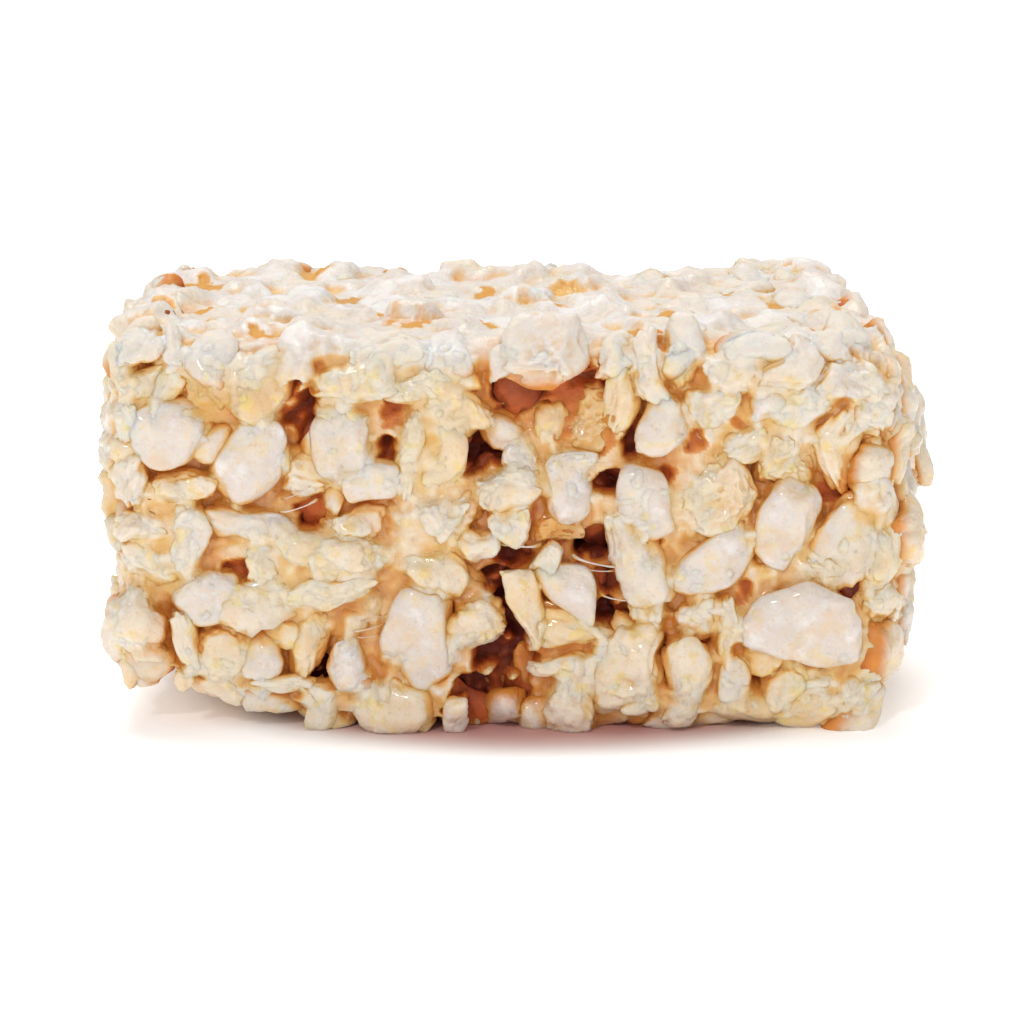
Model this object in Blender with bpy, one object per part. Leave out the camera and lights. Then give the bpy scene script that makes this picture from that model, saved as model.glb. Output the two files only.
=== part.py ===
"""A crispy rice treat: a hand-cut block of puffed rice grains that melted marshmallow holds together.

The block is one solid. Its core is the packed inside of the treat, and the grains that show on the
faces are fused to it: first the ones that mark the front, at their own places, then the largest of
the rest, spread evenly over every face. Lengths are in metres, the front faces -Y and +Z is up.
"""

import math

import bmesh
import bpy
import numpy as np
from mathutils import Matrix, Vector

MM = 0.001

# The plain block, before its end bulges, its corner lifts and the table presses its underside flat
LEFT_END = -37.2 * MM
RIGHT_END = 33.9 * MM
DEPTH = 49.6 * MM
HEIGHT = 37.1 * MM
PRESSED_AWAY = 2.0 * MM
EDGE_RADIUS = 4.2 * MM

# What the hand pressing and the knife did to it
END_BULGE = 6.0 * MM
END_BULGE_AT_EDGES = 0.2
CORNER_LIFT = 5.6 * MM
CORNER_LIFT_FROM = -15.0 * MM
CORNER_LIFT_REACH = 22.0 * MM
FACE_WAVE = 0.6 * MM
FACE_WAVE_LENGTH = 23.0 * MM

# The middle of the finished block's box, which is set over the origin
BOX_MIDDLE = Vector((1.38, -0.51, 0.0)) * MM

# The core under the grains
CORE_INSET = 1.7 * MM
CORE_INSET_TOP = 1.2 * MM
CORE_GRID_CUTS = 8
BELOW_BASE = 0.4 * MM

# The grains
GRAIN_SIDES = 5
GRAIN_RINGS = 4
GRAIN_PLUMPNESS = 0.82
GRAIN_SPACING = 6.0 * MM
GRAIN_LENGTHS = (6.2 * MM, 8.2 * MM)
GRAIN_WIDTH_SHARES = (0.54, 0.74)
GRAIN_TILT_DEG = 16.0
GRAIN_STANDS_OUT = (-0.5 * MM, 0.3 * MM)
FACE_CANDIDATES = 3200
LAYOUT_SEED = 11

# Large grains of the front: across from the middle, height, length and width in mm, lean in degrees
# anticlockwise from level, and how far each lies behind the front skin in mm
FRONT_GRAINS = (
    (-30.6, 27.6, 7.8, 6.0, 8, -0.6),
    (-23.5, 25.7, 7.6, 6.7, 65, -0.6),
    (26.5, 10.1, 10.2, 6.0, -4, -0.7),
    (-8.9, 8.2, 8.9, 6.0, 82, -0.7),
    (2.4, 35.2, 7.6, 6.5, 70, -0.5),
    (25.0, 20.0, 7.1, 5.3, 75, -0.5),
    (-27.6, 12.3, 6.0, 5.1, 20, -0.5),
    (4.9, 23.2, 6.4, 4.5, 80, -0.5),
    (18.8, 16.3, 8.4, 5.3, 35, -0.2),
    (11.3, 16.8, 8.9, 4.7, -72, -0.2),
    (-14.3, 26.9, 8.6, 6.0, 85, -0.1),
    (-11.4, 35.7, 7.3, 4.5, 15, -0.3),
    (31.1, 17.3, 7.8, 5.3, 80, -0.1),
    (11.5, 5.3, 8.0, 6.0, 85, -0.1),
    (19.0, 22.1, 7.3, 6.4, 45, 0.1),
    (29.0, 26.5, 7.8, 4.7, 80, 0.2),
    (-35.1, 9.9, 6.9, 5.6, -70, 0.0),
    (-11.1, 2.7, 8.0, 4.7, -10, 0.2),
    (-22.5, 31.7, 6.9, 4.4, 50, 1.0),
    (-19.0, 35.7, 6.8, 3.5, -85, -0.2),
    (5.0, 13.6, 6.7, 4.0, -30, -0.4),
    (12.5, 21.9, 6.5, 4.7, -70, -0.2),
    (6.0, 9.7, 7.3, 3.5, -12, 0.2),
    (19.9, 33.7, 5.6, 4.5, 20, -0.1),
    (-6.9, 14.7, 6.7, 4.5, -35, 0.0),
    (-6.4, 20.3, 6.5, 4.5, 15, 0.1),
    (-26.6, 35.5, 5.6, 5.0, 90, 0.0),
    (-6.0, 38.0, 5.6, 5.0, 60, 0.0),
    (13.8, 28.3, 6.5, 4.0, 88, -0.1),
    (-23.5, 19.6, 8.4, 3.6, -10, 0.0),
    (24.3, 25.4, 5.3, 4.9, 20, 0.2),
    (5.5, 3.0, 5.5, 4.7, 90, 0.0),
    (-26.3, 7.6, 5.6, 4.4, 80, 0.2),
    (16.1, 4.1, 6.2, 3.6, 85, 0.0),
    (-13.6, 32.2, 6.4, 3.1, 3, -0.2),
    (-7.8, 32.2, 6.4, 3.3, 3, -0.2),
    (-17.2, 12.9, 7.6, 2.7, 5, 0.2),
    (-29.2, 18.6, 5.8, 3.3, 85, 0.2),
    (-2.8, 10.1, 5.1, 4.4, 20, 0.3),
    (12.4, 33.4, 5.9, 3.1, -85, 0.0),
    (-12.7, 23.2, 5.5, 3.6, 10, 0.0),
    (-0.5, 22.8, 5.1, 3.6, 20, 0.1),
    (-32.7, 16.3, 5.1, 3.6, 0, 0.3),
    (30.3, 32.2, 6.0, 2.9, 3, 0.0),
    (-18.8, 7.8, 6.5, 3.1, 80, 0.5),
    (-15.0, 16.1, 6.0, 3.5, 5, 0.2),
    (27.4, 15.6, 4.7, 4.0, 20, 0.4),
    (24.5, 4.2, 4.9, 4.0, 80, 0.1),
    (-14.9, 6.3, 5.5, 3.1, -85, -0.3),
    (19.7, 9.7, 5.8, 2.5, 85, 0.4),
    (-34.6, 23.1, 4.7, 3.6, 80, 0.2),
    (27.9, 5.4, 5.5, 2.9, 15, 0.2),
    (-5.3, 3.6, 4.9, 3.6, 10, 0.0),
    (-25.8, 4.3, 6.0, 3.3, 5, 0.5),
    (33.5, 29.7, 4.2, 3.8, 60, 0.3),
    (20.1, 4.9, 4.4, 2.7, 88, 0.2),
    (17.8, 30.2, 4.9, 3.5, 0, 0.1),
    (-29.8, 8.9, 6.4, 2.7, -85, 0.4),
)

# Hollows of the front, where grains fell out under the knife: across, height, radius and depth in mm
FRONT_HOLLOWS = (
    (-20.0, 29.4, 2.4, 6.0),
    (-1.6, 29.6, 3.0, 6.5),
    (6.0, 33.0, 2.4, 4.5),
    (6.2, 16.4, 2.5, 7.0),
    (-1.2, 8.4, 3.0, 6.5),
    (-2.0, 2.4, 3.4, 5.5),
    (-18.4, 6.2, 2.0, 5.0),
)

MARSHMALLOW_COLOUR = (0.86, 0.74, 0.55, 1.0)
MARSHMALLOW_ROUGHNESS = 0.5


def clear_scene():
    for thing in list(bpy.data.objects):
        bpy.data.objects.remove(thing)


def new_collection(name):
    collection = bpy.data.collections.new(name)
    bpy.context.scene.collection.children.link(collection)
    return collection


def smooth_step(share):
    """0 below 0 and 1 above 1, with an even S between."""
    held = np.clip(share, 0.0, 1.0)
    return held * held * (3.0 - 2.0 * held)


def rounded(points, inset, inset_top):
    """(place, normal) of points on the plain block's box, brought onto the box with rounded edges."""
    low = np.array([LEFT_END + inset, -DEPTH / 2 + inset, -PRESSED_AWAY])
    high = np.array([RIGHT_END - inset, DEPTH / 2 - inset, HEIGHT - inset_top])
    boxed = np.clip(points, low, high)
    inner = np.clip(boxed, low + EDGE_RADIUS, high - EDGE_RADIUS)
    outward = boxed - inner
    normal = outward / np.linalg.norm(outward, axis=1, keepdims=True)
    return inner + EDGE_RADIUS * normal, normal


def settled(place, normal):
    """The block as it lies: the right end bulges, the lower left is lifted, and the faces are wavy."""
    x, y, z = place.T
    towards_end = smooth_step(x / RIGHT_END)
    up = (z - HEIGHT / 2) / (HEIGHT / 2)
    along = y / (DEPTH / 2)
    in_depth = 1.0 - (1.0 - END_BULGE_AT_EDGES) * along * along
    bulge = END_BULGE * towards_end * (1.0 - up * up) * in_depth
    lift = CORNER_LIFT * smooth_step((CORNER_LIFT_FROM - x) / CORNER_LIFT_REACH) * (1.0 - z / HEIGHT)
    turn = 2.0 * math.pi / FACE_WAVE_LENGTH
    wave = FACE_WAVE * np.sin(turn * x + 4.1) * np.sin(turn * y + 2.0) * np.cos(turn * z)
    on_base = normal[:, 2] < -0.7
    moved = place + np.where(on_base, 0.0, wave)[:, None] * normal
    moved[:, 0] += bulge
    moved[:, 2] += lift
    return moved


def front_skin(spots):
    """(place, normal) on the settled front behind each spot given as across, any depth and height."""
    guess = spots.copy()
    guess[:, 1] = -DEPTH / 2
    for _ in range(6):
        place, normal = rounded(guess, 0.0, 0.0)
        guess += (spots - settled(place, normal)) * np.array([1.0, 0.0, 1.0])
    place, normal = rounded(guess, 0.0, 0.0)
    return settled(place, normal), normal


def face_candidates():
    """Points scattered evenly over the box, as (point, three random shares each) by one seeded draw."""
    draw = np.random.default_rng(LAYOUT_SEED)
    low = np.array([LEFT_END, -DEPTH / 2, -PRESSED_AWAY])
    size = np.array([RIGHT_END, DEPTH / 2, HEIGHT]) - low
    shares = draw.random((FACE_CANDIDATES, 9))
    areas = np.array([size[1] * size[2], size[0] * size[2], size[0] * size[1]])
    axis = np.searchsorted(np.cumsum(areas) / areas.sum(), shares[:, 0])
    rows = np.arange(FACE_CANDIDATES)
    spots = shares[:, 1:4].copy()
    spots[rows, axis] = np.round(spots[rows, axis])
    return low + spots * size, shares[:, 4:]


def grain_frame(normal, turn, tilt):
    """The turning of a grain: its length lies in the face, at an angle, and tips out of it a little."""
    upright = Vector((0.0, 0.0, 1.0)) if abs(normal.z) < 0.8 else Vector((0.0, 1.0, 0.0))
    level = upright.cross(normal).normalized()
    rising = normal.cross(level)
    length_way = level * math.cos(turn) + rising * math.sin(turn)
    length_way = (length_way * math.cos(tilt) + normal * math.sin(tilt)).normalized()
    thick_way = (normal - length_way * normal.dot(length_way)).normalized()
    width_way = thick_way.cross(length_way)
    return Matrix((length_way, width_way, thick_way)).transposed()


def front_grains():
    """(place, turning, size) of each large grain of the front."""
    marks = np.array(FRONT_GRAINS)
    spots = np.stack([marks[:, 0], np.zeros(len(marks)), marks[:, 1]], axis=1) * MM
    skins, normals = front_skin(spots)
    grains = []
    for skin, normal, (_, _, length, width, lean, behind) in zip(skins, normals, FRONT_GRAINS):
        thickness = GRAIN_PLUMPNESS * min(width, 4.6) * MM
        outward = Vector(normal)
        centre = Vector(skin) - outward * (behind * MM + thickness / 2 - GRAIN_STANDS_OUT[1])
        frame = grain_frame(outward, math.radians(lean), 0.0)
        grains.append((centre, frame, Vector((length * MM, width * MM, thickness))))
    return grains


def scattered_grains(taken):
    """(place, turning, size) of the other grains: each candidate is kept where no grain is near it."""
    spots, shares = face_candidates()
    skins, normals = rounded(spots, 0.0, 0.0)
    skins = settled(skins, normals)
    skins[normals[:, 2] < -0.7, 2] += PRESSED_AWAY
    kept = [grain[0] for grain in taken]
    grains = []
    for skin, normal, (size, plump, turn, tilt, proud) in zip(skins, normals, shares):
        near = np.linalg.norm(np.array(kept) - skin, axis=1).min()
        if near < GRAIN_SPACING or skin[2] < -BELOW_BASE:
            continue
        length = GRAIN_LENGTHS[0] + size * (GRAIN_LENGTHS[1] - GRAIN_LENGTHS[0])
        width = length * (GRAIN_WIDTH_SHARES[0] + plump * (GRAIN_WIDTH_SHARES[1] - GRAIN_WIDTH_SHARES[0]))
        thickness = GRAIN_PLUMPNESS * width
        stands_out = GRAIN_STANDS_OUT[0] + proud * (GRAIN_STANDS_OUT[1] - GRAIN_STANDS_OUT[0])
        on_base = normal[2] < -0.7
        sunk = thickness / 2 - (BELOW_BASE if on_base else stands_out)
        outward = Vector(normal)
        centre = Vector(skin) - outward * sunk
        lean = 0.0 if on_base else math.radians(GRAIN_TILT_DEG) * (2.0 * tilt - 1.0)
        grains.append((centre, grain_frame(outward, math.pi * turn, lean), Vector((length, width, thickness))))
        kept.append(Vector(skin))
    return grains


def make_grain(collection, mesh, number, centre, frame, size):
    grain = bpy.data.objects.new(f"grain_{number:03d}", mesh)
    grain.matrix_world = Matrix.LocRotScale(centre, frame, size)
    collection.objects.link(grain)


def grain_mesh():
    """A puffed grain one unit long, wide and thick, with its poles at the ends of its length."""
    mesh = bpy.data.meshes.new("grain")
    shape = bmesh.new()
    bmesh.ops.create_uvsphere(shape, u_segments=GRAIN_SIDES, v_segments=GRAIN_RINGS, radius=0.5)
    bmesh.ops.rotate(shape, verts=shape.verts, matrix=Matrix.Rotation(math.pi / 2, 3, "Y"))
    shape.to_mesh(mesh)
    shape.free()
    return mesh


def make_core(name):
    """The packed inside: a subdivided box, rounded and settled like the skin but a grain's depth inside it."""
    shape = bmesh.new()
    bmesh.ops.create_cube(shape, size=1.0)
    bmesh.ops.subdivide_edges(shape, edges=shape.edges, cuts=CORE_GRID_CUTS, use_grid_fill=True)
    corners = np.array([vertex.co for vertex in shape.verts])
    middle = np.array([(LEFT_END + RIGHT_END) / 2, 0.0, (HEIGHT - PRESSED_AWAY) / 2])
    size = np.array([RIGHT_END - LEFT_END, DEPTH, HEIGHT + PRESSED_AWAY])
    place, normal = rounded(middle + corners * size, CORE_INSET, CORE_INSET_TOP)
    place = settled(place, normal)
    for vertex, spot in zip(shape.verts, place):
        vertex.co = spot
    mesh = bpy.data.meshes.new(name)
    shape.to_mesh(mesh)
    shape.free()
    core = bpy.data.objects.new(name, mesh)
    return core


def make_hollows(collection):
    """Egg-shaped cutters that stand in the core's front, one for each hollow."""
    for number, (across, height, radius, depth) in enumerate(FRONT_HOLLOWS):
        mesh = bpy.data.meshes.new(f"hollow_{number}")
        shape = bmesh.new()
        bmesh.ops.create_icosphere(shape, subdivisions=1, radius=1.0)
        bmesh.ops.scale(shape, vec=Vector((radius, depth, radius)) * MM, verts=shape.verts)
        shape.to_mesh(mesh)
        shape.free()
        hollow = bpy.data.objects.new(mesh.name, mesh)
        hollow.location = (across * MM, -DEPTH / 2 + 0.5 * MM, height * MM)
        collection.objects.link(hollow)


def make_floor_cutter(collection):
    """A slab under the block, which presses the undersides of the lowest grains flat."""
    slab = 20.0 * MM
    mesh = bpy.data.meshes.new("floor_slab")
    shape = bmesh.new()
    bmesh.ops.create_cube(shape, size=1.0)
    bmesh.ops.scale(shape, vec=Vector((0.2, 0.2, slab)), verts=shape.verts)
    shape.to_mesh(mesh)
    shape.free()
    cutter = bpy.data.objects.new("floor_slab", mesh)
    cutter.location = (0.0, 0.0, -slab / 2)
    collection.objects.link(cutter)


def apply_boolean(target, operation, collection):
    """Joins or cuts target with every object of a collection, keeps the result and removes them.

    The manifold solver does it: the exact one loses the core where hundreds of grains cross.
    """
    boolean = target.modifiers.new(operation.lower(), "BOOLEAN")
    boolean.operation = operation
    boolean.operand_type = "COLLECTION"
    boolean.collection = collection
    boolean.solver = "MANIFOLD"
    bpy.context.view_layer.update()
    graph = bpy.context.evaluated_depsgraph_get()
    result = bpy.data.meshes.new_from_object(target.evaluated_get(graph))
    target.modifiers.clear()
    target.data = result
    for thing in list(collection.objects):
        bpy.data.objects.remove(thing)
    bpy.data.collections.remove(collection)


def keep_outer_skin(mesh):
    """Drops every loose shell but the largest: sealed hollows are filled, and crumbs fall away."""
    shape = bmesh.new()
    shape.from_mesh(mesh)
    waiting = set(shape.verts)
    shells = []
    while waiting:
        edge_of_shell = [waiting.pop()]
        shell = list(edge_of_shell)
        while edge_of_shell:
            vertex = edge_of_shell.pop()
            for edge in vertex.link_edges:
                other = edge.other_vert(vertex)
                if other in waiting:
                    waiting.remove(other)
                    edge_of_shell.append(other)
                    shell.append(other)
        shells.append(shell)
    largest = max(shells, key=len)
    loose = [vertex for shell in shells if shell is not largest for vertex in shell]
    bmesh.ops.delete(shape, geom=loose, context="VERTS")
    shape.to_mesh(mesh)
    shape.free()


def marshmallow_material():
    material = bpy.data.materials.new("marshmallow_and_rice")
    material.use_nodes = True
    shader = material.node_tree.nodes["Principled BSDF"]
    shader.inputs["Base Color"].default_value = MARSHMALLOW_COLOUR
    shader.inputs["Roughness"].default_value = MARSHMALLOW_ROUGHNESS
    shader.inputs["Metallic"].default_value = 0.0
    return material


def build():
    clear_scene()
    treat_parts = new_collection("crispy_treat")
    treat = make_core("crispy_treat")
    treat_parts.objects.link(treat)

    hollows = new_collection("hollows")
    make_hollows(hollows)
    apply_boolean(treat, "DIFFERENCE", hollows)

    grains = new_collection("grains")
    mesh = grain_mesh()
    marked = front_grains()
    everything = marked + scattered_grains(marked)
    for number, (centre, frame, size) in enumerate(everything):
        make_grain(grains, mesh, number, centre, frame, size)
    apply_boolean(treat, "UNION", grains)

    floor = new_collection("floor")
    make_floor_cutter(floor)
    apply_boolean(treat, "DIFFERENCE", floor)

    keep_outer_skin(treat.data)
    treat.data.transform(Matrix.Translation(-BOX_MIDDLE))
    treat.data.materials.clear()
    treat.data.materials.append(marshmallow_material())


build()
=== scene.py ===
"""The looks of a crispy rice treat: its puffed grains, the marshmallow that holds them, and a pale studio.

The grains lie where the solid has them: the same envelope, the same marks on the front and the same
seeded scatter. Smaller grains fill in between, deeper ones lie further in and are painted browner as
painted shade, and one closed marshmallow coat runs over and between them all. Creases and hollows
have painted shade, ridges and the top are painted paler as painted light, and the floor has a painted
shadow round the block. Lengths are in millimetres until a mesh is made.
"""

import math

import bpy
import numpy as np
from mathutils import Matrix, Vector


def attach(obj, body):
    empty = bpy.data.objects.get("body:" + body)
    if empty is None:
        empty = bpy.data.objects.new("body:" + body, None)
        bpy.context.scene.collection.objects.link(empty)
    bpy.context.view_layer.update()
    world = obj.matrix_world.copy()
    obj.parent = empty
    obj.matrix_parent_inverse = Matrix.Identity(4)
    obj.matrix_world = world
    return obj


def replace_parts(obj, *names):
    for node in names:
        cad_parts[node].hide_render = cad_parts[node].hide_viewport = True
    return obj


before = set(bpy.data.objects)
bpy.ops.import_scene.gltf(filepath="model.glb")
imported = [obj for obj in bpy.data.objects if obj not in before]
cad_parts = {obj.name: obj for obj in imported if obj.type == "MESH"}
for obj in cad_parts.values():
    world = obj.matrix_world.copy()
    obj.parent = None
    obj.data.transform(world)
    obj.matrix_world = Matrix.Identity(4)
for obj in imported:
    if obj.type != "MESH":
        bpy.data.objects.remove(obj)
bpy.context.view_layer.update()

MM = 0.001

# The envelope of the block, as the solid has it
LEFT_END = -37.2
RIGHT_END = 33.9
DEPTH = 49.6
HEIGHT = 37.1
PRESSED_AWAY = 2.0
EDGE_RADIUS = 4.2
END_BULGE = 6.0
END_BULGE_AT_EDGES = 0.2
CORNER_LIFT = 5.6
CORNER_LIFT_FROM = -15.0
CORNER_LIFT_REACH = 22.0
FACE_WAVE = 0.6
FACE_WAVE_LENGTH = 23.0
WAVE_START_ACROSS = 4.1
WAVE_START_DEEP = 2.0
BOX_MIDDLE = np.array([1.38, -0.51, 0.0])
BELOW_BASE = 0.4

# A normal that points further down than this belongs to the pressed base
BASE_NORMAL = -0.7

# Past this place, to the right, the back or the top, the points of a grain are pressed in
GRAIN_LIMITS = np.array([60.0, 25.9, 37.9])

# How far behind the middle the front half of the coat reaches over the back half
SEAM = 2.0

# Steps of the coat's grids, and the grid of each grain that fills the volume
FRONT_COAT_STEPS = (0.27, 0.42, 0.27)
BACK_COAT_STEPS = (0.38, 0.42, 0.38)
VOLUME_GRID = (28, 40)

# The grains that the solid has
GRAIN_PLUMPNESS = 0.82
GRAIN_SPACING = 6.0
GRAIN_LENGTHS = (6.2, 8.2)
GRAIN_WIDTH_SHARES = (0.54, 0.74)
GRAIN_TILT_DEG = 16.0
GRAIN_STANDS_OUT = (-0.5, 0.3)
FACE_CANDIDATES = 3200
LAYOUT_SEED = 11
NOWHERE = np.zeros((0, 3))

# What a grain is like: smooth, bubbly where it puffed, broken open, or wrapped in marshmallow
SMOOTH, BUBBLY, BROKEN, WRAPPED = range(4)

# How many blisters every grain has, and pits in a bubbly grain and in a broken one
BLISTERS = 20
BUBBLES = 46
BROKEN_CELLS = 130

# In a grain's unit ball: the distances of its flat sides, and the sine waves of its direction, with the
# heights of the first five, which swell it, and of the last four, which make it lobed
SIDE_CUTS = (0.70, 0.82, 0.86, 0.86, 0.9, 0.9)
WAVE_PITCHES = (1.7, 2.2, 2.8, 3.5, 4.4, 5.4, 7.2, 9.6, 12.6)
SWELLS = (0.08, 0.08, 0.07, 0.06, 0.05)
LOBES = (0.10, 0.08, 0.06, 0.045)

# How far a grain stands out freely, and by how much more at most
TOP_STANDS_OUT = (0.2, 0.5)
SIDE_STANDS_OUT = (0.4, 0.8)

# Large grains of the front: across from the middle, height, length, width, lean in degrees anticlockwise
# from level, how far behind the front skin, tone from white to golden, and kind
FRONT_GRAINS = (
    (-30.6, 27.6, 7.8, 6.0, 8, -0.6, 0.02, 0),
    (-23.5, 25.7, 7.6, 6.7, 65, -0.6, 0.02, 0),
    (26.5, 10.1, 10.2, 6.0, -4, -0.7, 0.02, 0),
    (-8.9, 8.2, 8.9, 6.0, 82, -0.7, 0.04, 0),
    (3.2, 35.9, 7.2, 6.4, 70, -0.5, 0.15, 2),
    (24.9, 19.2, 7.4, 5.3, 75, -0.5, 0.03, 0),
    (-27.6, 12.3, 6.0, 5.1, 20, -0.5, 0.03, 0),
    (4.9, 23.2, 6.4, 4.5, 80, -0.5, 0.05, 1),
    (18.5, 15.9, 9.6, 5.0, 34, -0.2, 0.05, 0),
    (11.3, 16.8, 8.9, 4.7, -72, -0.2, 0.15, 0),
    (-14.3, 26.9, 8.6, 6.0, 85, -0.1, 0.10, 0),
    (-11.4, 35.7, 7.3, 4.5, 15, -0.3, 0.25, 1),
    (31.1, 17.3, 7.8, 5.3, 80, -0.1, 0.15, 0),
    (11.5, 5.3, 8.0, 6.0, 85, -0.1, 0.40, 1),
    (19.0, 22.1, 7.3, 6.4, 45, 0.1, 0.45, 2),
    (29.0, 26.5, 7.8, 4.7, 80, 0.2, 0.40, 1),
    (-35.1, 9.9, 6.9, 5.6, -70, 0.0, 0.20, 0),
    (-11.1, 2.7, 8.0, 4.7, -10, 0.2, 0.40, 0),
    (-22.5, 31.7, 6.9, 4.6, 50, 0.1, 0.75, 0),
    (-19.0, 35.7, 6.8, 3.5, -85, -0.2, 0.05, 3),
    (5.0, 13.6, 6.7, 4.0, -30, -0.4, 0.05, 0),
    (12.5, 21.9, 6.5, 4.7, -70, -0.2, 0.08, 0),
    (6.0, 9.7, 7.3, 3.5, -12, 0.2, 0.55, 0),
    (19.9, 33.7, 5.6, 4.5, 20, -0.1, 0.20, 0),
    (-6.9, 14.7, 6.7, 4.5, -35, 0.0, 0.40, 0),
    (-6.4, 20.3, 6.5, 4.5, 15, 0.1, 0.20, 1),
    (-26.6, 35.5, 5.6, 5.0, 90, 0.0, 0.10, 0),
    (-6.0, 38.0, 5.6, 5.0, 60, 0.0, 0.02, 1),
    (13.8, 28.3, 6.5, 4.0, 88, -0.1, 0.10, 0),
    (-23.5, 19.6, 8.4, 3.6, -10, 0.0, 0.10, 0),
    (24.3, 25.6, 5.8, 5.2, 20, -0.5, 0.50, 2),
    (5.5, 3.0, 5.5, 4.7, 90, 0.0, 0.25, 1),
    (-26.3, 7.6, 5.6, 4.4, 80, 0.2, 0.45, 1),
    (16.1, 4.1, 6.2, 3.6, 85, 0.0, 0.30, 0),
    (-13.6, 32.2, 6.4, 3.1, 3, -0.2, 0.35, 1),
    (-7.8, 32.2, 6.4, 3.3, 3, -0.2, 0.40, 1),
    (-17.2, 12.9, 7.6, 2.7, 5, 0.2, 0.40, 0),
    (-29.2, 18.6, 5.8, 3.3, 85, 0.2, 0.20, 0),
    (-2.8, 10.1, 5.1, 4.4, 20, 0.3, 0.35, 0),
    (12.4, 33.4, 5.9, 3.1, -85, 0.0, 0.25, 0),
    (-12.7, 23.2, 5.5, 3.6, 10, 0.0, 0.05, 0),
    (-0.5, 22.8, 5.1, 3.6, 20, 0.1, 0.20, 1),
    (-32.7, 16.3, 5.1, 3.6, 0, 0.3, 0.30, 0),
    (30.3, 32.2, 6.0, 2.9, 3, 0.0, 0.15, 0),
    (-18.8, 7.8, 6.5, 3.1, 80, 0.5, 0.60, 0),
    (-15.0, 16.1, 6.0, 3.5, 5, 0.2, 0.25, 1),
    (27.4, 15.6, 4.7, 4.0, 20, 0.4, 0.55, 2),
    (24.5, 4.2, 4.9, 4.0, 80, 0.1, 0.40, 0),
    (-14.9, 6.3, 5.5, 3.1, -85, -0.3, 0.02, 0),
    (19.7, 9.7, 5.8, 2.5, 85, 0.4, 0.45, 0),
    (-34.6, 23.1, 4.7, 3.6, 80, 0.2, 0.20, 0),
    (27.9, 5.4, 5.5, 2.9, 15, 0.2, 0.30, 0),
    (-5.3, 3.6, 4.9, 3.6, 10, 0.0, 0.05, 3),
    (-25.8, 4.3, 6.0, 3.3, 5, 0.5, 0.40, 0),
    (33.5, 29.7, 4.2, 3.8, 60, 0.3, 0.20, 0),
    (20.1, 4.9, 4.4, 2.7, 88, 0.2, 0.10, 0),
    (17.8, 30.2, 4.9, 3.5, 0, 0.1, 0.15, 0),
    (-29.8, 8.9, 6.4, 2.7, -85, 0.4, 0.30, 0),
)

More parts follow.
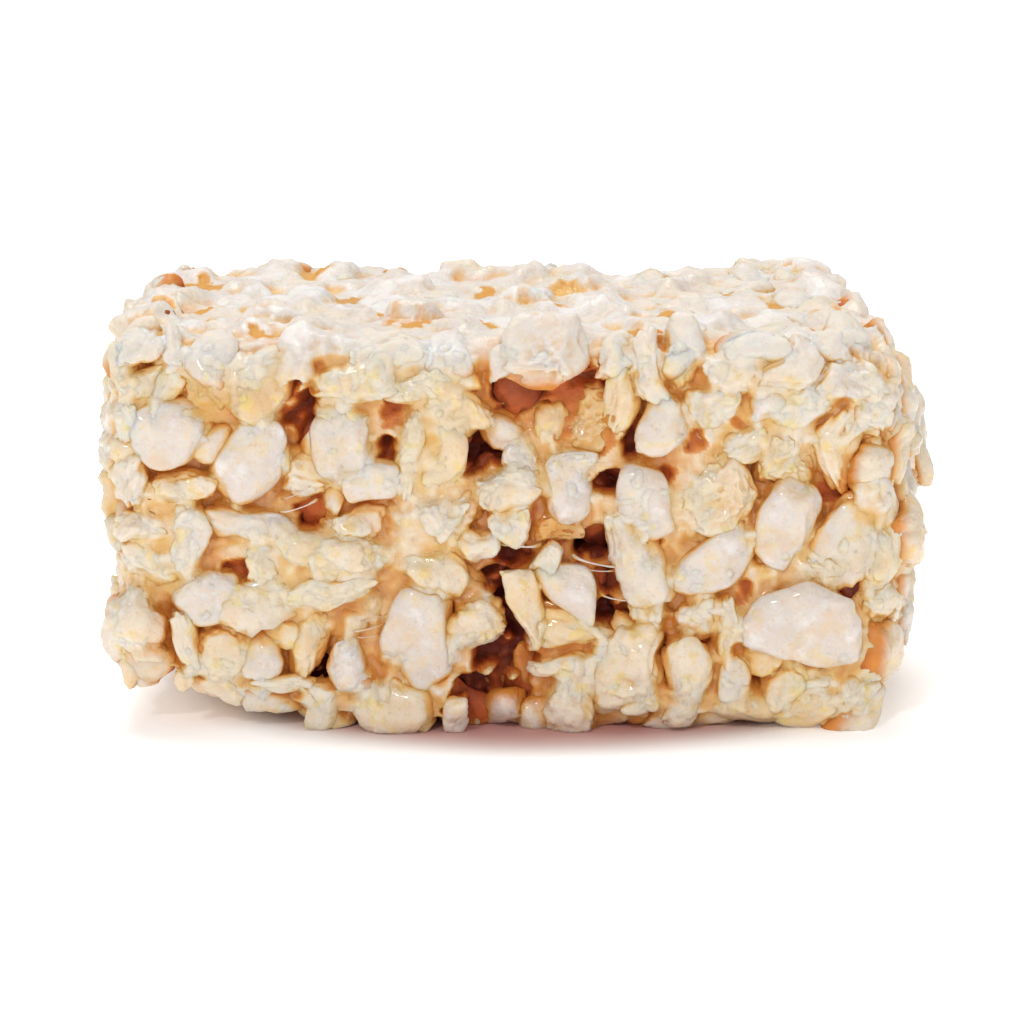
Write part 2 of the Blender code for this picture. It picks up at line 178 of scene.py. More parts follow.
# Smaller and deeper grains of the front, which the solid leaves out
FRONT_SMALL_GRAINS = (
    (-36.2, 33.1, 4.1, 2.4, 85, 0.5, 0.45, 0),
    (-32.7, 32.2, 4.2, 3.1, 10, 0.4, 0.35, 0),
    (-32.6, 36.2, 4.1, 3.6, 0, 0.0, 0.15, 0),
    (-30.0, 35.7, 4.5, 2.5, 90, 0.0, 0.15, 0),
    (-27.2, 31.0, 6.6, 4.8, 0, 0.7, 1.00, 2),
    (-34.8, 28.3, 4.1, 2.3, 90, 0.3, 0.30, 0),
    (-28.9, 22.8, 5.5, 2.7, 0, 0.4, 0.30, 1),
    (-3.7, 34.8, 5.5, 3.6, 80, 2.6, 0.95, 0),
    (3.5, 28.8, 4.6, 3.4, 88, 1.3, 0.75, 0),
    (-8.7, 26.3, 7.3, 2.5, 88, 0.6, 0.45, 0),
    (-6.1, 25.6, 5.3, 3.2, 90, 0.8, 0.60, 0),
    (-3.9, 29.7, 5.9, 3.3, -30, 1.0, 0.65, 0),
    (1.4, 25.4, 3.5, 3.5, 0, 0.2, 0.10, 1),
    (10.0, 31.8, 6.5, 2.7, 88, 0.6, 0.55, 0),
    (7.7, 28.9, 5.6, 5.0, 80, 1.1, 0.85, 2),
    (23.0, 30.0, 3.8, 3.1, 0, 0.1, 0.05, 0),
    (16.8, 26.7, 2.7, 2.2, 90, 2.0, 0.90, 0),
    (-33.5, 19.1, 4.5, 2.9, 0, 0.3, 0.25, 0),
    (-22.6, 7.3, 4.5, 3.3, 60, 0.2, 0.10, 0),
    (-30.0, 4.7, 1.8, 1.6, 0, 0.5, 0.60, 0),
    (-20.4, 4.4, 5.5, 1.5, 0, 0.6, 0.20, 0),
    (-22.2, 15.4, 4.7, 3.6, 80, 0.3, 0.30, 1),
    (-19.0, 23.2, 4.5, 3.3, 10, 0.5, 0.25, 0),
    (-16.8, 9.2, 3.8, 2.5, -30, 2.8, 0.90, 0),
    (0.4, 19.4, 3.6, 3.3, 0, 0.2, 0.20, 0),
    (-14.5, 19.3, 6.0, 2.7, 5, 0.2, 0.25, 1),
    (-3.5, 16.8, 4.4, 2.9, 5, 0.2, 0.20, 0),
    (-5.0, 1.0, 3.1, 2.2, 90, 0.1, 0.10, 0),
    (-1.0, 3.7, 3.8, 3.5, 0, 4.6, 1.00, 0),
    (1.7, 5.3, 4.5, 2.4, -80, 3.4, 0.85, 0),
    (3.1, 16.1, 3.3, 2.4, 60, 0.2, 0.20, 0),
    (1.4, 12.0, 7.2, 3.1, -68, 0.3, 0.50, 0),
    (5.0, 6.4, 5.5, 2.2, 5, 0.2, 0.30, 0),
    (12.5, 11.5, 3.6, 3.5, 0, 0.3, 0.20, 0),
    (6.0, 20.3, 3.4, 2.6, 20, 2.2, 0.95, 0),
    (3.5, 18.7, 4.8, 3.0, 5, 1.2, 0.95, 2),
    (17.0, 10.2, 3.8, 3.6, 90, 0.2, 0.20, 0),
    (18.7, 3.0, 2.2, 1.8, 0, 2.0, 0.80, 0),
    (32.8, 21.4, 4.9, 2.9, -30, 0.2, 0.10, 3),
    (35.9, 24.6, 4.5, 3.6, 0, 0.3, 0.35, 0),
    (36.3, 18.2, 6.4, 3.1, 88, 0.3, 0.45, 0),
    (35.6, 11.7, 4.5, 3.8, 80, 0.3, 0.35, 0),
    (33.6, 7.1, 5.1, 2.4, 85, 0.4, 0.35, 0),
    (32.1, 3.6, 4.0, 3.1, 10, 0.3, 0.35, 0),
    (25.6, 34.4, 5.6, 3.6, 60, 0.0, 0.15, 1),
    (22.4, 36.6, 5.2, 3.4, 10, 0.0, 0.10, 0),
    (26.4, 30.4, 5.0, 3.4, 25, 0.2, 0.25, 0),
    (15.6, 36.4, 5.5, 3.5, 80, 0.0, 0.10, 0),
    (28.6, 36.4, 4.8, 3.2, -30, 0.1, 0.15, 0),
    (21.6, 26.6, 4.4, 3.0, 40, 0.3, 0.30, 0),
    (14.9, 33.0, 4.6, 2.8, 80, 0.3, 0.25, 0),
    (10.5, 36.9, 4.6, 3.0, 20, 0.3, 0.20, 0),
    (-31.0, 31.5, 4.6, 3.0, 60, 0.5, 0.30, 0),
)

# Hollows of the front: across, height, half width, half height and depth
FRONT_HOLLOWS = (
    (-18.8, 29.5, 1.6, 2.4, 4.2),
    (0.6, 31.0, 2.5, 1.9, 6.0),
    (-3.3, 25.7, 2.1, 1.8, 5.5),
    (-10.9, 25.8, 0.7, 1.5, 4.2),
    (-10.5, 29.6, 0.9, 1.6, 2.2),
    (4.6, 31.4, 4.6, 2.0, 2.8),
    (7.6, 28.4, 2.8, 2.6, 2.0),
    (8.8, 34.4, 1.2, 1.8, 3.6),
    (3.6, 18.6, 2.6, 1.6, 1.8),
    (4.6, 8.2, 3.4, 1.4, 1.4),
    (6.7, 33.1, 2.3, 1.7, 4.0),
    (10.9, 27.4, 0.9, 1.7, 4.5),
    (8.7, 23.2, 1.6, 1.0, 4.5),
    (7.5, 17.2, 1.9, 1.5, 8.5),
    (9.1, 13.7, 1.1, 1.4, 5.5),
    (9.1, 10.8, 1.5, 1.5, 5.0),
    (-1.4, 14.3, 1.4, 1.0, 5.0),
    (0.4, 16.3, 2.0, 1.1, 4.5),
    (0.1, 10.3, 2.1, 2.5, 6.0),
    (-0.5, 6.6, 2.7, 2.7, 5.0),
    (-1.9, 3.0, 3.4, 2.3, 5.0),
    (-18.3, 20.5, 1.2, 1.5, 5.0),
    (-24.6, 15.2, 1.2, 1.2, 3.0),
    (-16.9, 6.0, 1.9, 2.3, 5.5),
    (-26.1, 28.1, 0.9, 0.5, 3.0),
    (-30.3, 31.7, 0.9, 1.3, 3.0),
    (32.2, 26.0, 1.1, 1.3, 3.5),
    (29.2, 22.1, 1.3, 0.9, 3.0),
    (31.0, 13.8, 1.4, 0.9, 3.5),
    (8.9, 36.2, 0.9, 0.5, 3.0),
    (22.0, 5.3, 0.9, 0.7, 3.0),
    (14.2, 6.6, 0.9, 2.2, 3.5),
    (-6.0, 11.0, 0.7, 1.3, 3.0),
    (14.9, 12.0, 0.8, 0.6, 3.0),
    (20.2, 28.7, 0.6, 0.5, 2.5),
    (28.8, 28.0, 0.9, 0.7, 2.4),
    (25.0, 23.6, 1.3, 0.5, 2.5),
    (16.7, 26.6, 0.9, 1.0, 2.2),
    (14.2, 23.9, 1.1, 0.6, 2.8),
    (13.3, 17.6, 0.7, 0.5, 2.6),
    (20.8, 13.2, 0.7, 1.0, 2.4),
    (17.4, 8.2, 0.8, 0.6, 2.4),
    (22.8, 16.4, 0.8, 0.7, 3.0),
)

# Amber pits of the top: across, towards the back, half width, half length and depth
TOP_PITS = (
    (-24.0, -15.4, 1.4, 0.9, 1.3),
    (-29.4, -4.0, 1.0, 1.6, 1.2),
    (-12.0, -6.0, 0.9, 1.2, 1.2),
    (14.4, -12.0, 1.2, 1.4, 1.2),
    (25.6, -3.0, 1.0, 1.6, 1.2),
    (-34.0, -16.0, 1.2, 1.2, 1.4),
    (3.4, -3.0, 1.4, 0.9, 1.1),
    (30.0, -10.0, 1.2, 1.0, 1.2),
    (-30.9, 10.0, 2.6, 2.6, 1.3),
    (-27.1, -12.8, 1.8, 2.2, 1.4),
    (-22.4, -20.4, 1.6, 1.8, 1.3),
    (-33.4, -9.0, 0.8, 1.2, 1.2),
    (-3.1, -12.8, 1.2, 1.8, 1.4),
    (-9.5, -14.7, 1.6, 1.6, 1.2),
    (10.0, -19.8, 1.5, 1.4, 1.3),
    (24.1, -17.0, 1.3, 1.3, 1.2),
    (28.2, -19.8, 1.3, 1.2, 1.1),
    (-2.6, 5.7, 1.0, 2.2, 1.1),
    (18.7, -8.3, 1.0, 1.6, 1.1),
    (6.0, 9.0, 1.2, 2.4, 1.1),
    (-16.0, 2.0, 1.0, 2.0, 1.1),
    (22.0, 8.0, 1.4, 1.8, 1.2),
    (-20.0, 18.0, 1.2, 1.6, 1.1),
)

# Marshmallow strands pulled across the hollows: from and to, as across and height, then how far
# behind the front skin, and width
FRONT_STRANDS = (
    (5.6, 16.3, 9.9, 15.3, 0.3, 0.14),
    (5.4, 15.4, 9.6, 14.9, 0.6, 0.09),
    (8.0, 12.8, 11.2, 12.1, 0.4, 0.12),
    (-1.4, 17.6, 2.7, 17.3, 0.3, 0.16),
    (-14.8, 9.3, -11.0, 10.2, 0.2, 0.11),
    (-14.6, 8.8, -11.2, 9.1, 0.4, 0.08),
    (-14.2, 10.0, -10.6, 11.2, 0.5, 0.07),
    (7.6, 9.4, 10.6, 8.4, 0.5, 0.10),
    (-20.9, 20.3, -17.6, 21.4, 0.3, 0.10),
    (-20.6, 21.5, -17.8, 22.9, 0.4, 0.07),
)
STRAND_SAG = 0.025
STRAND_SIDES = 8
STRAND_RINGS = 14

# The photograph's camera: elevation, distance from the point aimed at, that point's place, and lens
CAMERA_ELEVATION_DEG = 12.0
CAMERA_DISTANCE = 320.0
AIM_HEIGHT = 15.4
AIM_ACROSS = 0.09
LENS = 115.2
SENSOR = 36.0


# Envelope and places


def smooth_step(share):
    """0 below 0 and 1 above 1, with an even S between."""
    held = np.clip(share, 0.0, 1.0)
    return held * held * (3.0 - 2.0 * held)


def unit(vectors):
    return vectors / np.linalg.norm(vectors, axis=-1, keepdims=True)


def rounded(points):
    """(place, normal) of points on the plain block's box, brought onto the box with rounded edges."""
    low = np.array([LEFT_END, -DEPTH / 2, -PRESSED_AWAY])
    high = np.array([RIGHT_END, DEPTH / 2, HEIGHT])
    boxed = np.clip(points, low, high)
    inner = np.clip(boxed, low + EDGE_RADIUS, high - EDGE_RADIUS)
    normal = unit(boxed - inner)
    return inner + EDGE_RADIUS * normal, normal


def settled(place, normal):
    """The block as it lies: the right end bulges, the lower left is lifted, and the faces are wavy."""
    x, y, z = place.T
    towards_end = smooth_step(x / RIGHT_END)
    up = (z - HEIGHT / 2) / (HEIGHT / 2)
    along = y / (DEPTH / 2)
    in_depth = 1.0 - (1.0 - END_BULGE_AT_EDGES) * along * along
    bulge = END_BULGE * towards_end * (1.0 - up * up) * in_depth
    lift = CORNER_LIFT * smooth_step((CORNER_LIFT_FROM - x) / CORNER_LIFT_REACH) * (1.0 - z / HEIGHT)
    turn = 2.0 * math.pi / FACE_WAVE_LENGTH
    across, deep = np.sin(turn * x + WAVE_START_ACROSS), np.sin(turn * y + WAVE_START_DEEP)
    wave = FACE_WAVE * across * deep * np.cos(turn * z)
    moved = place + np.where(normal[:, 2] < BASE_NORMAL, 0.0, wave)[:, None] * normal
    moved[:, 0] += bulge
    moved[:, 2] += lift
    return moved


def front_spots(across, height):
    """Spots of the front given as across and height."""
    return np.stack([across, np.zeros(len(across)), height], axis=1)


def front_skin(spots):
    """(place, normal) on the settled front behind each spot given as across, any depth and height."""
    guess = spots.copy()
    guess[:, 1] = -DEPTH / 2
    for _ in range(6):
        place, normal = rounded(guess)
        guess += (spots - settled(place, normal)) * np.array([1.0, 0.0, 1.0])
    place, normal = rounded(guess)
    return settled(place, normal), normal


def face_candidates(count, seed):
    """Points scattered evenly over the box, with five random shares each, by one seeded draw."""
    draw = np.random.default_rng(seed)
    low = np.array([LEFT_END, -DEPTH / 2, -PRESSED_AWAY])
    size = np.array([RIGHT_END, DEPTH / 2, HEIGHT]) - low
    shares = draw.random((count, 9))
    areas = np.array([size[1] * size[2], size[0] * size[2], size[0] * size[1]])
    axis = np.searchsorted(np.cumsum(areas) / areas.sum(), shares[:, 0])
    rows = np.arange(count)
    spots = shares[:, 1:4].copy()
    spots[rows, axis] = np.round(spots[rows, axis])
    return low + spots * size, shares[:, 4:]


def skin_at(spots):
    """(place, normal) on the settled block for points on its plain box; the base is pressed flat at 0."""
    place, normal = rounded(spots)
    place = settled(place, normal)
    place[normal[:, 2] < BASE_NORMAL, 2] += PRESSED_AWAY
    return place, normal


def spread(spots, kept, spacing):
    """Indices of the spots that lie a spacing or more from those kept so far and from each other."""
    taken = np.empty((len(kept) + len(spots), 3))
    taken[: len(kept)] = kept
    count = len(kept)
    chosen = []
    for index, spot in enumerate(spots):
        away = taken[:count] - spot
        if count and (away * away).sum(axis=1).min() < spacing * spacing:
            continue
        taken[count] = spot
        count += 1
        chosen.append(index)
    return np.array(chosen, int)


def grain_frames(normals, turns, tilts):
    """Rows of length, width and thickness directions: the length lies in the face at an angle, and tips."""
    upright = np.where(np.abs(normals[:, 2:]) < 0.8, [[0.0, 0.0, 1.0]], [[0.0, 1.0, 0.0]])
    level = unit(np.cross(upright, normals))
    rising = np.cross(normals, level)
    turns, tilts = turns[:, None], tilts[:, None]
    lengthwise = level * np.cos(turns) + rising * np.sin(turns)
    lengthwise = unit(lengthwise * np.cos(tilts) + normals * np.sin(tilts))
    thick = unit(normals - lengthwise * (normals * lengthwise).sum(axis=1, keepdims=True))
    return np.stack([lengthwise, np.cross(thick, lengthwise), thick], axis=1)


def pick(grains, chosen):
    return {key: value[chosen] for key, value in grains.items()}


def join(groups):
    return {key: np.concatenate([group[key] for group in groups]) for key in groups[0]}


def marked_grains(marks):
    """The grains of a list of marks on the front, each set in behind the skin by its own thickness."""
    marks = np.array(marks, float)
    skin, normal = front_skin(front_spots(marks[:, 0], marks[:, 1]))
    thickness = GRAIN_PLUMPNESS * np.minimum(marks[:, 3], 4.6)
    behind = marks[:, 5] + thickness / 2 - GRAIN_STANDS_OUT[1]
    return {
        "skin": skin,
        "normal": normal,
        "centre": skin - normal * behind[:, None],
        "frame": grain_frames(normal, np.radians(marks[:, 4]), np.zeros(len(marks))),
        "size": np.stack([marks[:, 2], marks[:, 3], thickness], axis=1),
        "tone": marks[:, 6],
        "kind": marks[:, 7].astype(int),
    }


class Places:
    """Candidate places on the settled skin, each with its normal and five random shares."""

    def __init__(self, count, seed):
        spots, self.shares = face_candidates(count, seed)
        self.skin, self.normal = skin_at(spots)

    def keep(self, chosen):
        self.skin, self.normal, self.shares = self.skin[chosen], self.normal[chosen], self.shares[chosen]

    def grains(self, lengths, recess, tones, kind_shares):
        """A grain at each place: shares set its size, plumpness, turn, tilt and how far in it lies."""
        normal = self.normal
        size, plump, turn, tilt, proud = self.shares.T
        length = lengths[0] + size * (lengths[1] - lengths[0])
        plumpest = GRAIN_WIDTH_SHARES[1] - GRAIN_WIDTH_SHARES[0]
        width = length * (GRAIN_WIDTH_SHARES[0] + plump * plumpest)
        thickness = GRAIN_PLUMPNESS * width
        on_base = normal[:, 2] < BASE_NORMAL
        stands_out = -recess[1] + proud * (recess[1] - recess[0])
        sunk = thickness / 2 - np.where(on_base & (stands_out > -1.0), BELOW_BASE, stands_out)
        lean = np.where(on_base, 0.0, math.radians(GRAIN_TILT_DEG) * (2.0 * tilt - 1.0))
        mixed = (size * 7.3 + plump * 5.1 + tilt * 3.7) % 1.0
        bubbly, broken = mixed < kind_shares[0], mixed < kind_shares[1]
        kind = np.where(bubbly, BUBBLY, np.where(broken, BROKEN, SMOOTH))
        kind = np.where((normal[:, 2] > 0.4) & (tilt < 0.85), WRAPPED, kind)
        return {
            "skin": self.skin,
            "normal": normal,
            "centre": self.skin - normal * sunk[:, None],
            "frame": grain_frames(normal, math.pi * turn, lean),
            "size": np.stack([length, width, thickness], axis=1),
            "tone": tones[0] + (tones[1] - tones[0]) * ((plump * 9.1 + turn * 6.3) % 1.0) ** 1.6,
            "kind": kind,
        }


# Hollows


def all_hollows():
    """Front hollows from the list, and others scattered over the back, the ends and, shallower, the top."""
    marks = np.array(FRONT_HOLLOWS)
    front = np.concatenate([*front_skin(front_spots(marks[:, 0], marks[:, 1])), marks[:, 2:]], axis=1)
    places = Places(count=400, seed=23)
    places.keep(spread(places.skin, NOWHERE, spacing=9.0))
    skin, normal, shares = places.skin, places.normal, places.shares
    deep = 3.4 + 3.0 * shares[:, 0]
    wide = 1.1 + 1.2 * shares[:, 1]
    high = wide * (0.7 + 0.5 * shares[:, 2])
    others = np.concatenate([skin, normal, np.stack([wide, high, deep], axis=1)], axis=1)
    apart = (normal[:, 1] > -0.5) & (np.abs(normal[:, 2]) < 0.5) & (shares[:, 3] < 0.85)
    marks = np.array(TOP_PITS)
    spots = np.stack([marks[:, 0], marks[:, 1], np.full(len(marks), HEIGHT)], axis=1)
    top = np.concatenate([*skin_at(spots), marks[:, 2:]], axis=1)
    return np.concatenate([front, others[apart], top])


def hollow_depth(points, hollows, wider=0.0, ragged=0.0):
    """How deep the hollows are at each point: the deepest, each its depth times (1 less distance^6)^(1/2).

    Wider adds to each half width and height in mm, and ragged is added to each point's squared distance.
    """
    depth = np.zeros(len(points))
    for hollow in hollows:
        centre, normal, (wide, high, deep) = hollow[:3], hollow[3:6], hollow[6:]
        level, rising = grain_frames(normal[None], np.zeros(1), np.zeros(1))[0][:2]
        away = points - centre
        across = (away @ level / (wide + wider)) ** 2 + (away @ rising / (high + wider)) ** 2
        share = np.clip(across + (away @ normal / 9.0) ** 2 + ragged, 0.0, None)
        depth = np.maximum(depth, deep * np.sqrt(np.clip(1.0 - share**3, 0.0, 1.0)))
    return depth


# Everything in its place


def lay_grains(hollows):
    """(shown, filling, small, deep): the solid's and the marked grains, then closer and deeper ones."""
    large = marked_grains(FRONT_GRAINS)
    small = marked_grains(FRONT_SMALL_GRAINS)
    places = Places(FACE_CANDIDATES, LAYOUT_SEED)
    places.keep(places.skin[:, 2] >= -BELOW_BASE)
    places.keep(spread(places.skin, large["centre"], GRAIN_SPACING))
    to_small = np.linalg.norm(places.skin[:, None] - small["skin"][None], axis=2).min(axis=1)
    places.keep((to_small > 3.6) & (hollow_depth(places.skin, hollows) < 1.2))
    recess = (-GRAIN_STANDS_OUT[1], -GRAIN_STANDS_OUT[0])
    outer = places.grains(GRAIN_LENGTHS, recess, tones=(0.02, 0.62), kind_shares=(0.20, 0.33))
    shown = join([large, small, outer])

    places = Places(count=9000, seed=31)
    places.keep((hollow_depth(places.skin, hollows, wider=1.0) < 0.8) & (places.skin[:, 2] >= 0.0))
    places.keep(spread(places.skin, shown["skin"], spacing=3.5))
    filling = places.grains((4.4, 6.6), recess=(0.0, 1.5), tones=(0.10, 0.75), kind_shares=(0.18, 0.28))

    places = Places(count=14000, seed=37)
    places.keep((hollow_depth(places.skin, hollows, wider=1.3) < 0.5) & (places.normal[:, 2] > -0.3))
    places.keep(spread(places.skin, np.concatenate([shown["skin"], filling["skin"]]), spacing=2.5))
    small = places.grains((3.2, 5.0), recess=(0.2, 1.5), tones=(0.10, 0.75), kind_shares=(0.0, 0.0))

    places = Places(count=6000, seed=47)
    places.keep(spread(places.skin, NOWHERE, spacing=4.3))
    # Deep grains get the golden to brown tones: painted shade, as they lie further in.
    deep = places.grains((5.4, 7.2), recess=(2.4, 3.4), tones=(0.55, 1.0), kind_shares=(0.15, 0.2))
    bowl = hollow_depth(places.skin, hollows)
    further = np.clip(bowl - 1.2, 0.0, 5.0)
    deep["centre"] = deep["centre"] - deep["normal"] * further[:, None]
    flat = np.abs(deep["normal"]).max(axis=1) > 0.97
    return shown, filling, small, pick(deep, (deep["normal"][:, 2] > BASE_NORMAL) & (bowl < 4.4) & flat)


# Shapes


def grid_faces(along, around):
    """(quads, triangles) of one closed grid of rings with a point at each end, pole first and pole last."""
    ring = np.arange(around)
    following = (ring + 1) % around
    row = 1 + np.arange(along - 2)[:, None] * around
    quads = np.stack([row + ring, row + following, row + around + following, row + around + ring], axis=-1)
    last = 1 + (along - 1) * around
    first_fan = np.stack([np.zeros(around, int), 1 + following, 1 + ring], axis=-1)
    last_ring = 1 + (along - 2) * around
    last_fan = np.stack([np.full(around, last), last_ring + ring, last_ring + following], axis=-1)
    return quads.reshape(-1, 4), np.concatenate([first_fan, last_fan])


def sphere_directions(along, around):
    """Directions of a closed grid with its poles on the length axis, and the angles along and around."""
    from_end = np.repeat(np.pi * np.arange(1, along) / along, around)
    turned = np.tile(2.0 * np.pi * np.arange(around) / around, along - 1)
    from_end = np.concatenate([[0.0], from_end, [np.pi]])
    turned = np.concatenate([[0.0], turned, [0.0]])
    across = np.sin(from_end)
    directions = np.stack([-np.cos(from_end), across * np.cos(turned), across * np.sin(turned)], axis=1)
    return directions, from_end, turned


def random_directions(draw, *shape):
    return unit(draw.normal(size=(*shape, 3)))


def pitted(directions, centres, reach, depth):
    """Round pits: depth times the root of 1 less the share of the way to the rim, and 0 past the rim."""
    closeness = np.einsum("vc,npc->npv", directions, centres)
    share = (1.0 - closeness) / (1.0 - np.cos(reach))[:, :, None]
    bowls = depth[:, :, None] * np.sqrt(np.clip(1.0 - share, 0.0, 1.0))
    return bowls.max(axis=1)


def flattened(draw, grains, directions):
    """Radius of a ball pressed flat on six sides: 1 / (1 + sum of (direction . side / cut)^8)^(1/8)."""
    count = len(grains["tone"])
    sides = random_directions(draw, count, len(SIDE_CUTS))
    sides[:, 0] = unit(sides[:, 0] * 0.22 + np.array([0.0, 0.0, 1.0]))
    cuts = np.tile(SIDE_CUTS, (count, 1))
    cuts[:, 0] += np.where(grains["tone"] > 0.05, draw.uniform(0.0, 0.25, count), 0.0)
    facing = np.clip(np.einsum("vc,nsc->nsv", directions, sides) / cuts[:, :, None], 0.0, None)
    return 1.06 * (1.0 + (facing**8).sum(axis=1)) ** (-1.0 / 8.0)


def creases(draw, count, from_end, turned):
    """How far in each grain is pressed along one line: a narrow bell across it that fades to its ends."""
    crease_at = draw.uniform(-1.6, 1.6, (count, 1)) + np.pi / 2
    away = np.angle(np.exp(1j * (turned[None] - crease_at)))
    crease = draw.uniform(0.0, 0.13, (count, 1)) * np.exp(-((away / 0.32) ** 2))
    return crease * np.sin(from_end)[None] ** 2


def puffed(draw, grains, directions, radius):
    """The radius times five sine waves of the direction, plus the bare size of four more, plus blisters."""
    count = len(radius)
    lumpy = np.clip((grains["tone"][:, None] - 0.04) * 8.0, 0.3, 1.0)
    lumpy = np.where(grains["kind"][:, None] == BROKEN, 0.4, lumpy)
    waves = random_directions(draw, count, len(WAVE_PITCHES)) * np.array(WAVE_PITCHES)[None, :, None]
    phases = draw.uniform(0.0, 2.0 * np.pi, (count, len(WAVE_PITCHES)))
    ripples = np.sin(np.einsum("vc,nkc->nkv", directions, waves) + phases[:, :, None])
    strength = draw.uniform(0.6, 1.3, (count, 1))
    swells, lobes = ripples[:, : len(SWELLS)], np.abs(ripples[:, len(SWELLS) :]) - 0.6
    radius = radius * (1.0 + strength * np.einsum("nkv,k->nv", swells, SWELLS))
    radius = radius + strength * lumpy * np.einsum("nkv,k->nv", lobes, LOBES)
    blisters = random_directions(draw, count, BLISTERS)
    reach = draw.uniform(0.25, 0.75, (count, BLISTERS))
    swollen = 0.26 * reach * draw.uniform(0.3, 1.0, (count, BLISTERS))
    return radius + lumpy * pitted(directions, blisters, reach, swollen)


def opened_up(draw, grains, directions):
    """(pits, inside share): small pits all over a bubbly grain, and a bowl of cells in a broken one."""
    pits = np.zeros((len(grains["tone"]), len(directions)))
    inside = np.zeros_like(pits)
    opened = np.flatnonzero(np.isin(grains["kind"], (BUBBLY, BROKEN)))
    some = len(opened)
    if some:
        broken = (grains["kind"][opened] == BROKEN)[:, None]
        reach = draw.uniform(0.10, 0.26, (some, BUBBLES))
        bubble = pitted(directions, random_directions(draw, some, BUBBLES), reach, 0.4 * reach)
        cells = unit(random_directions(draw, some, BROKEN_CELLS) + np.array([0.0, 0.0, 0.8]))
        wide = draw.uniform(0.07, 0.19, (some, BROKEN_CELLS))
        cell = pitted(directions, cells, wide, wide * draw.uniform(0.5, 1.2, (some, BROKEN_CELLS)))
        outward = np.tile([[[0.0, 0.1, 1.0]]], (some, 1, 1))
        bowl = pitted(directions, outward, np.full((some, 1), 0.6), np.full((some, 1), 0.08))
        pits[opened] = np.where(broken, bowl + cell, bubble * 0.75)
        inside[opened] = np.where(broken, (pits[opened] - 0.05) * 2.6, pits[opened] * 3.0)
    return pits, np.clip(inside, 0.0, 1.0)


def bent(draw, ball, from_end):
    """Each ball with blunt ends, by a power of the distance from its axis, one end slimmer, and bent."""
    count = len(ball)
    blunt = draw.uniform(0.56, 0.8, (count, 1))
    across = np.maximum(np.sin(from_end)[None], 1e-6)
    slim = 1.0 + draw.uniform(-0.16, 0.16, (count, 1)) * ball[:, :, 0]
    ball[:, :, 1:] *= (across ** (blunt - 1.0) * slim)[:, :, None]
    ball[:, :, 1] += draw.uniform(-0.30, 0.30, (count, 1)) * (ball[:, :, 0] ** 2 - 0.35)
    ball[:, :, 2] -= draw.uniform(0.0, 0.16, (count, 1)) * (ball[:, :, 0] ** 2 - 0.3)
    return ball


def held_in(points, grains):
    """Points at most free + most x tanh(excess over free / most) over the skin, and within the limits."""
    height = np.einsum("nvc,nc->nv", points - grains["skin"][:, None], grains["normal"])
    free, most = np.where(grains["normal"][:, 2:] > 0.6, [TOP_STANDS_OUT], [SIDE_STANDS_OUT]).T[:, :, None]
    over = np.clip(height - free, 0.0, None)
    lowered = over - most * np.tanh(over / most)
    points = points - lowered[:, :, None] * grains["normal"][:, None]
    over = np.clip(points - GRAIN_LIMITS, 0.0, None)
    return points - over + 0.7 * np.tanh(over / 0.7)


def grain_points(grains, along, around, seed):
    """(points, inside share) of all grains of a group, each on one closed grid of along by around points.

    In a grain's own unit ball a point is its direction times a radius. The ball is pressed flat on six
    sides, creased, made lumpy and puffed, pitted where the grain is bubbly or broken open, and bent. Then
    it is stretched to the grain's size and turned to its place. The points are pushed about round the
    grain's middle, as those of all grains near them are, and held in where they stand out too far.
    """
    draw = np.random.default_rng(seed)
    count = len(grains["tone"])
    directions, from_end, turned = sphere_directions(along, around)
    radius = flattened(draw, grains, directions)
    radius = radius * (1.0 - creases(draw, count, from_end, turned))
    radius = puffed(draw, grains, directions, radius)
    pits, inside = opened_up(draw, grains, directions)
    ball = bent(draw, directions[None] * (radius - pits)[:, :, None], from_end)
    local = ball * (grains["size"][:, None] / 2)
    points = grains["centre"][:, None] + np.einsum("nvr,nrc->nvc", local, grains["frame"])
    points = points.reshape(-1, 3)
    held = np.repeat(stray(grains["centre"]), len(directions), axis=0)
    points = (points - stray(points) + held).reshape(count, -1, 3)
    return held_in(points, grains), inside


class Relief:
    """How high the outermost grains stand round about, in cells 1 mm wide laid through the block.

    Each cell of the skin keeps the largest height found in it, and then the largest of its neighbours,
    twice over. Blurring then spreads the heights, as their sum over the number of cells that hold one.
    """

    LOW = np.array([LEFT_END, -DEPTH / 2, -PRESSED_AWAY]) - 4.0
    CELLS = (86, 60, 50)

    REACH = 2
    PASSES = 2

    def __init__(self, skin, height):
        index = self.cell(skin)
        highest = np.full(self.CELLS, -99.0)
        np.maximum.at(highest, index, height)
        for _ in range(self.REACH):
            for axis in range(3):
                beside = np.maximum(np.roll(highest, 1, axis), np.roll(highest, -1, axis))
                highest = np.maximum(highest, beside)
        held = (highest > -90.0).astype(float)
        total = np.where(held > 0.0, highest, 0.0)
        for _ in range(self.PASSES):
            for axis in range(3):
                total = total + 0.5 * (np.roll(total, 1, axis) + np.roll(total, -1, axis))
                held = held + 0.5 * (np.roll(held, 1, axis) + np.roll(held, -1, axis))
        self.level = total / np.maximum(held, 1e-9)

    def cell(self, points):
        index = np.floor(points - self.LOW).astype(int)
        return tuple(np.clip(index[..., axis], 0, self.CELLS[axis] - 1) for axis in range(3))

    def below(self, skin, height):
        """0 level with its surroundings and 1 at 6 mm lower, for a point of that height over its skin."""
        return np.clip((self.level[self.cell(skin)] - height) / 6.0, 0.0, 1.0)


def grain_depth(points, grains, relief):
    """How far each point of each grain lies below its surroundings, along the grain's own normal."""
    height = np.einsum("nvc,nc->nv", points - grains["skin"][:, None], grains["normal"])
    return relief.below(points - height[:, :, None] * grains["normal"][:, None], height)


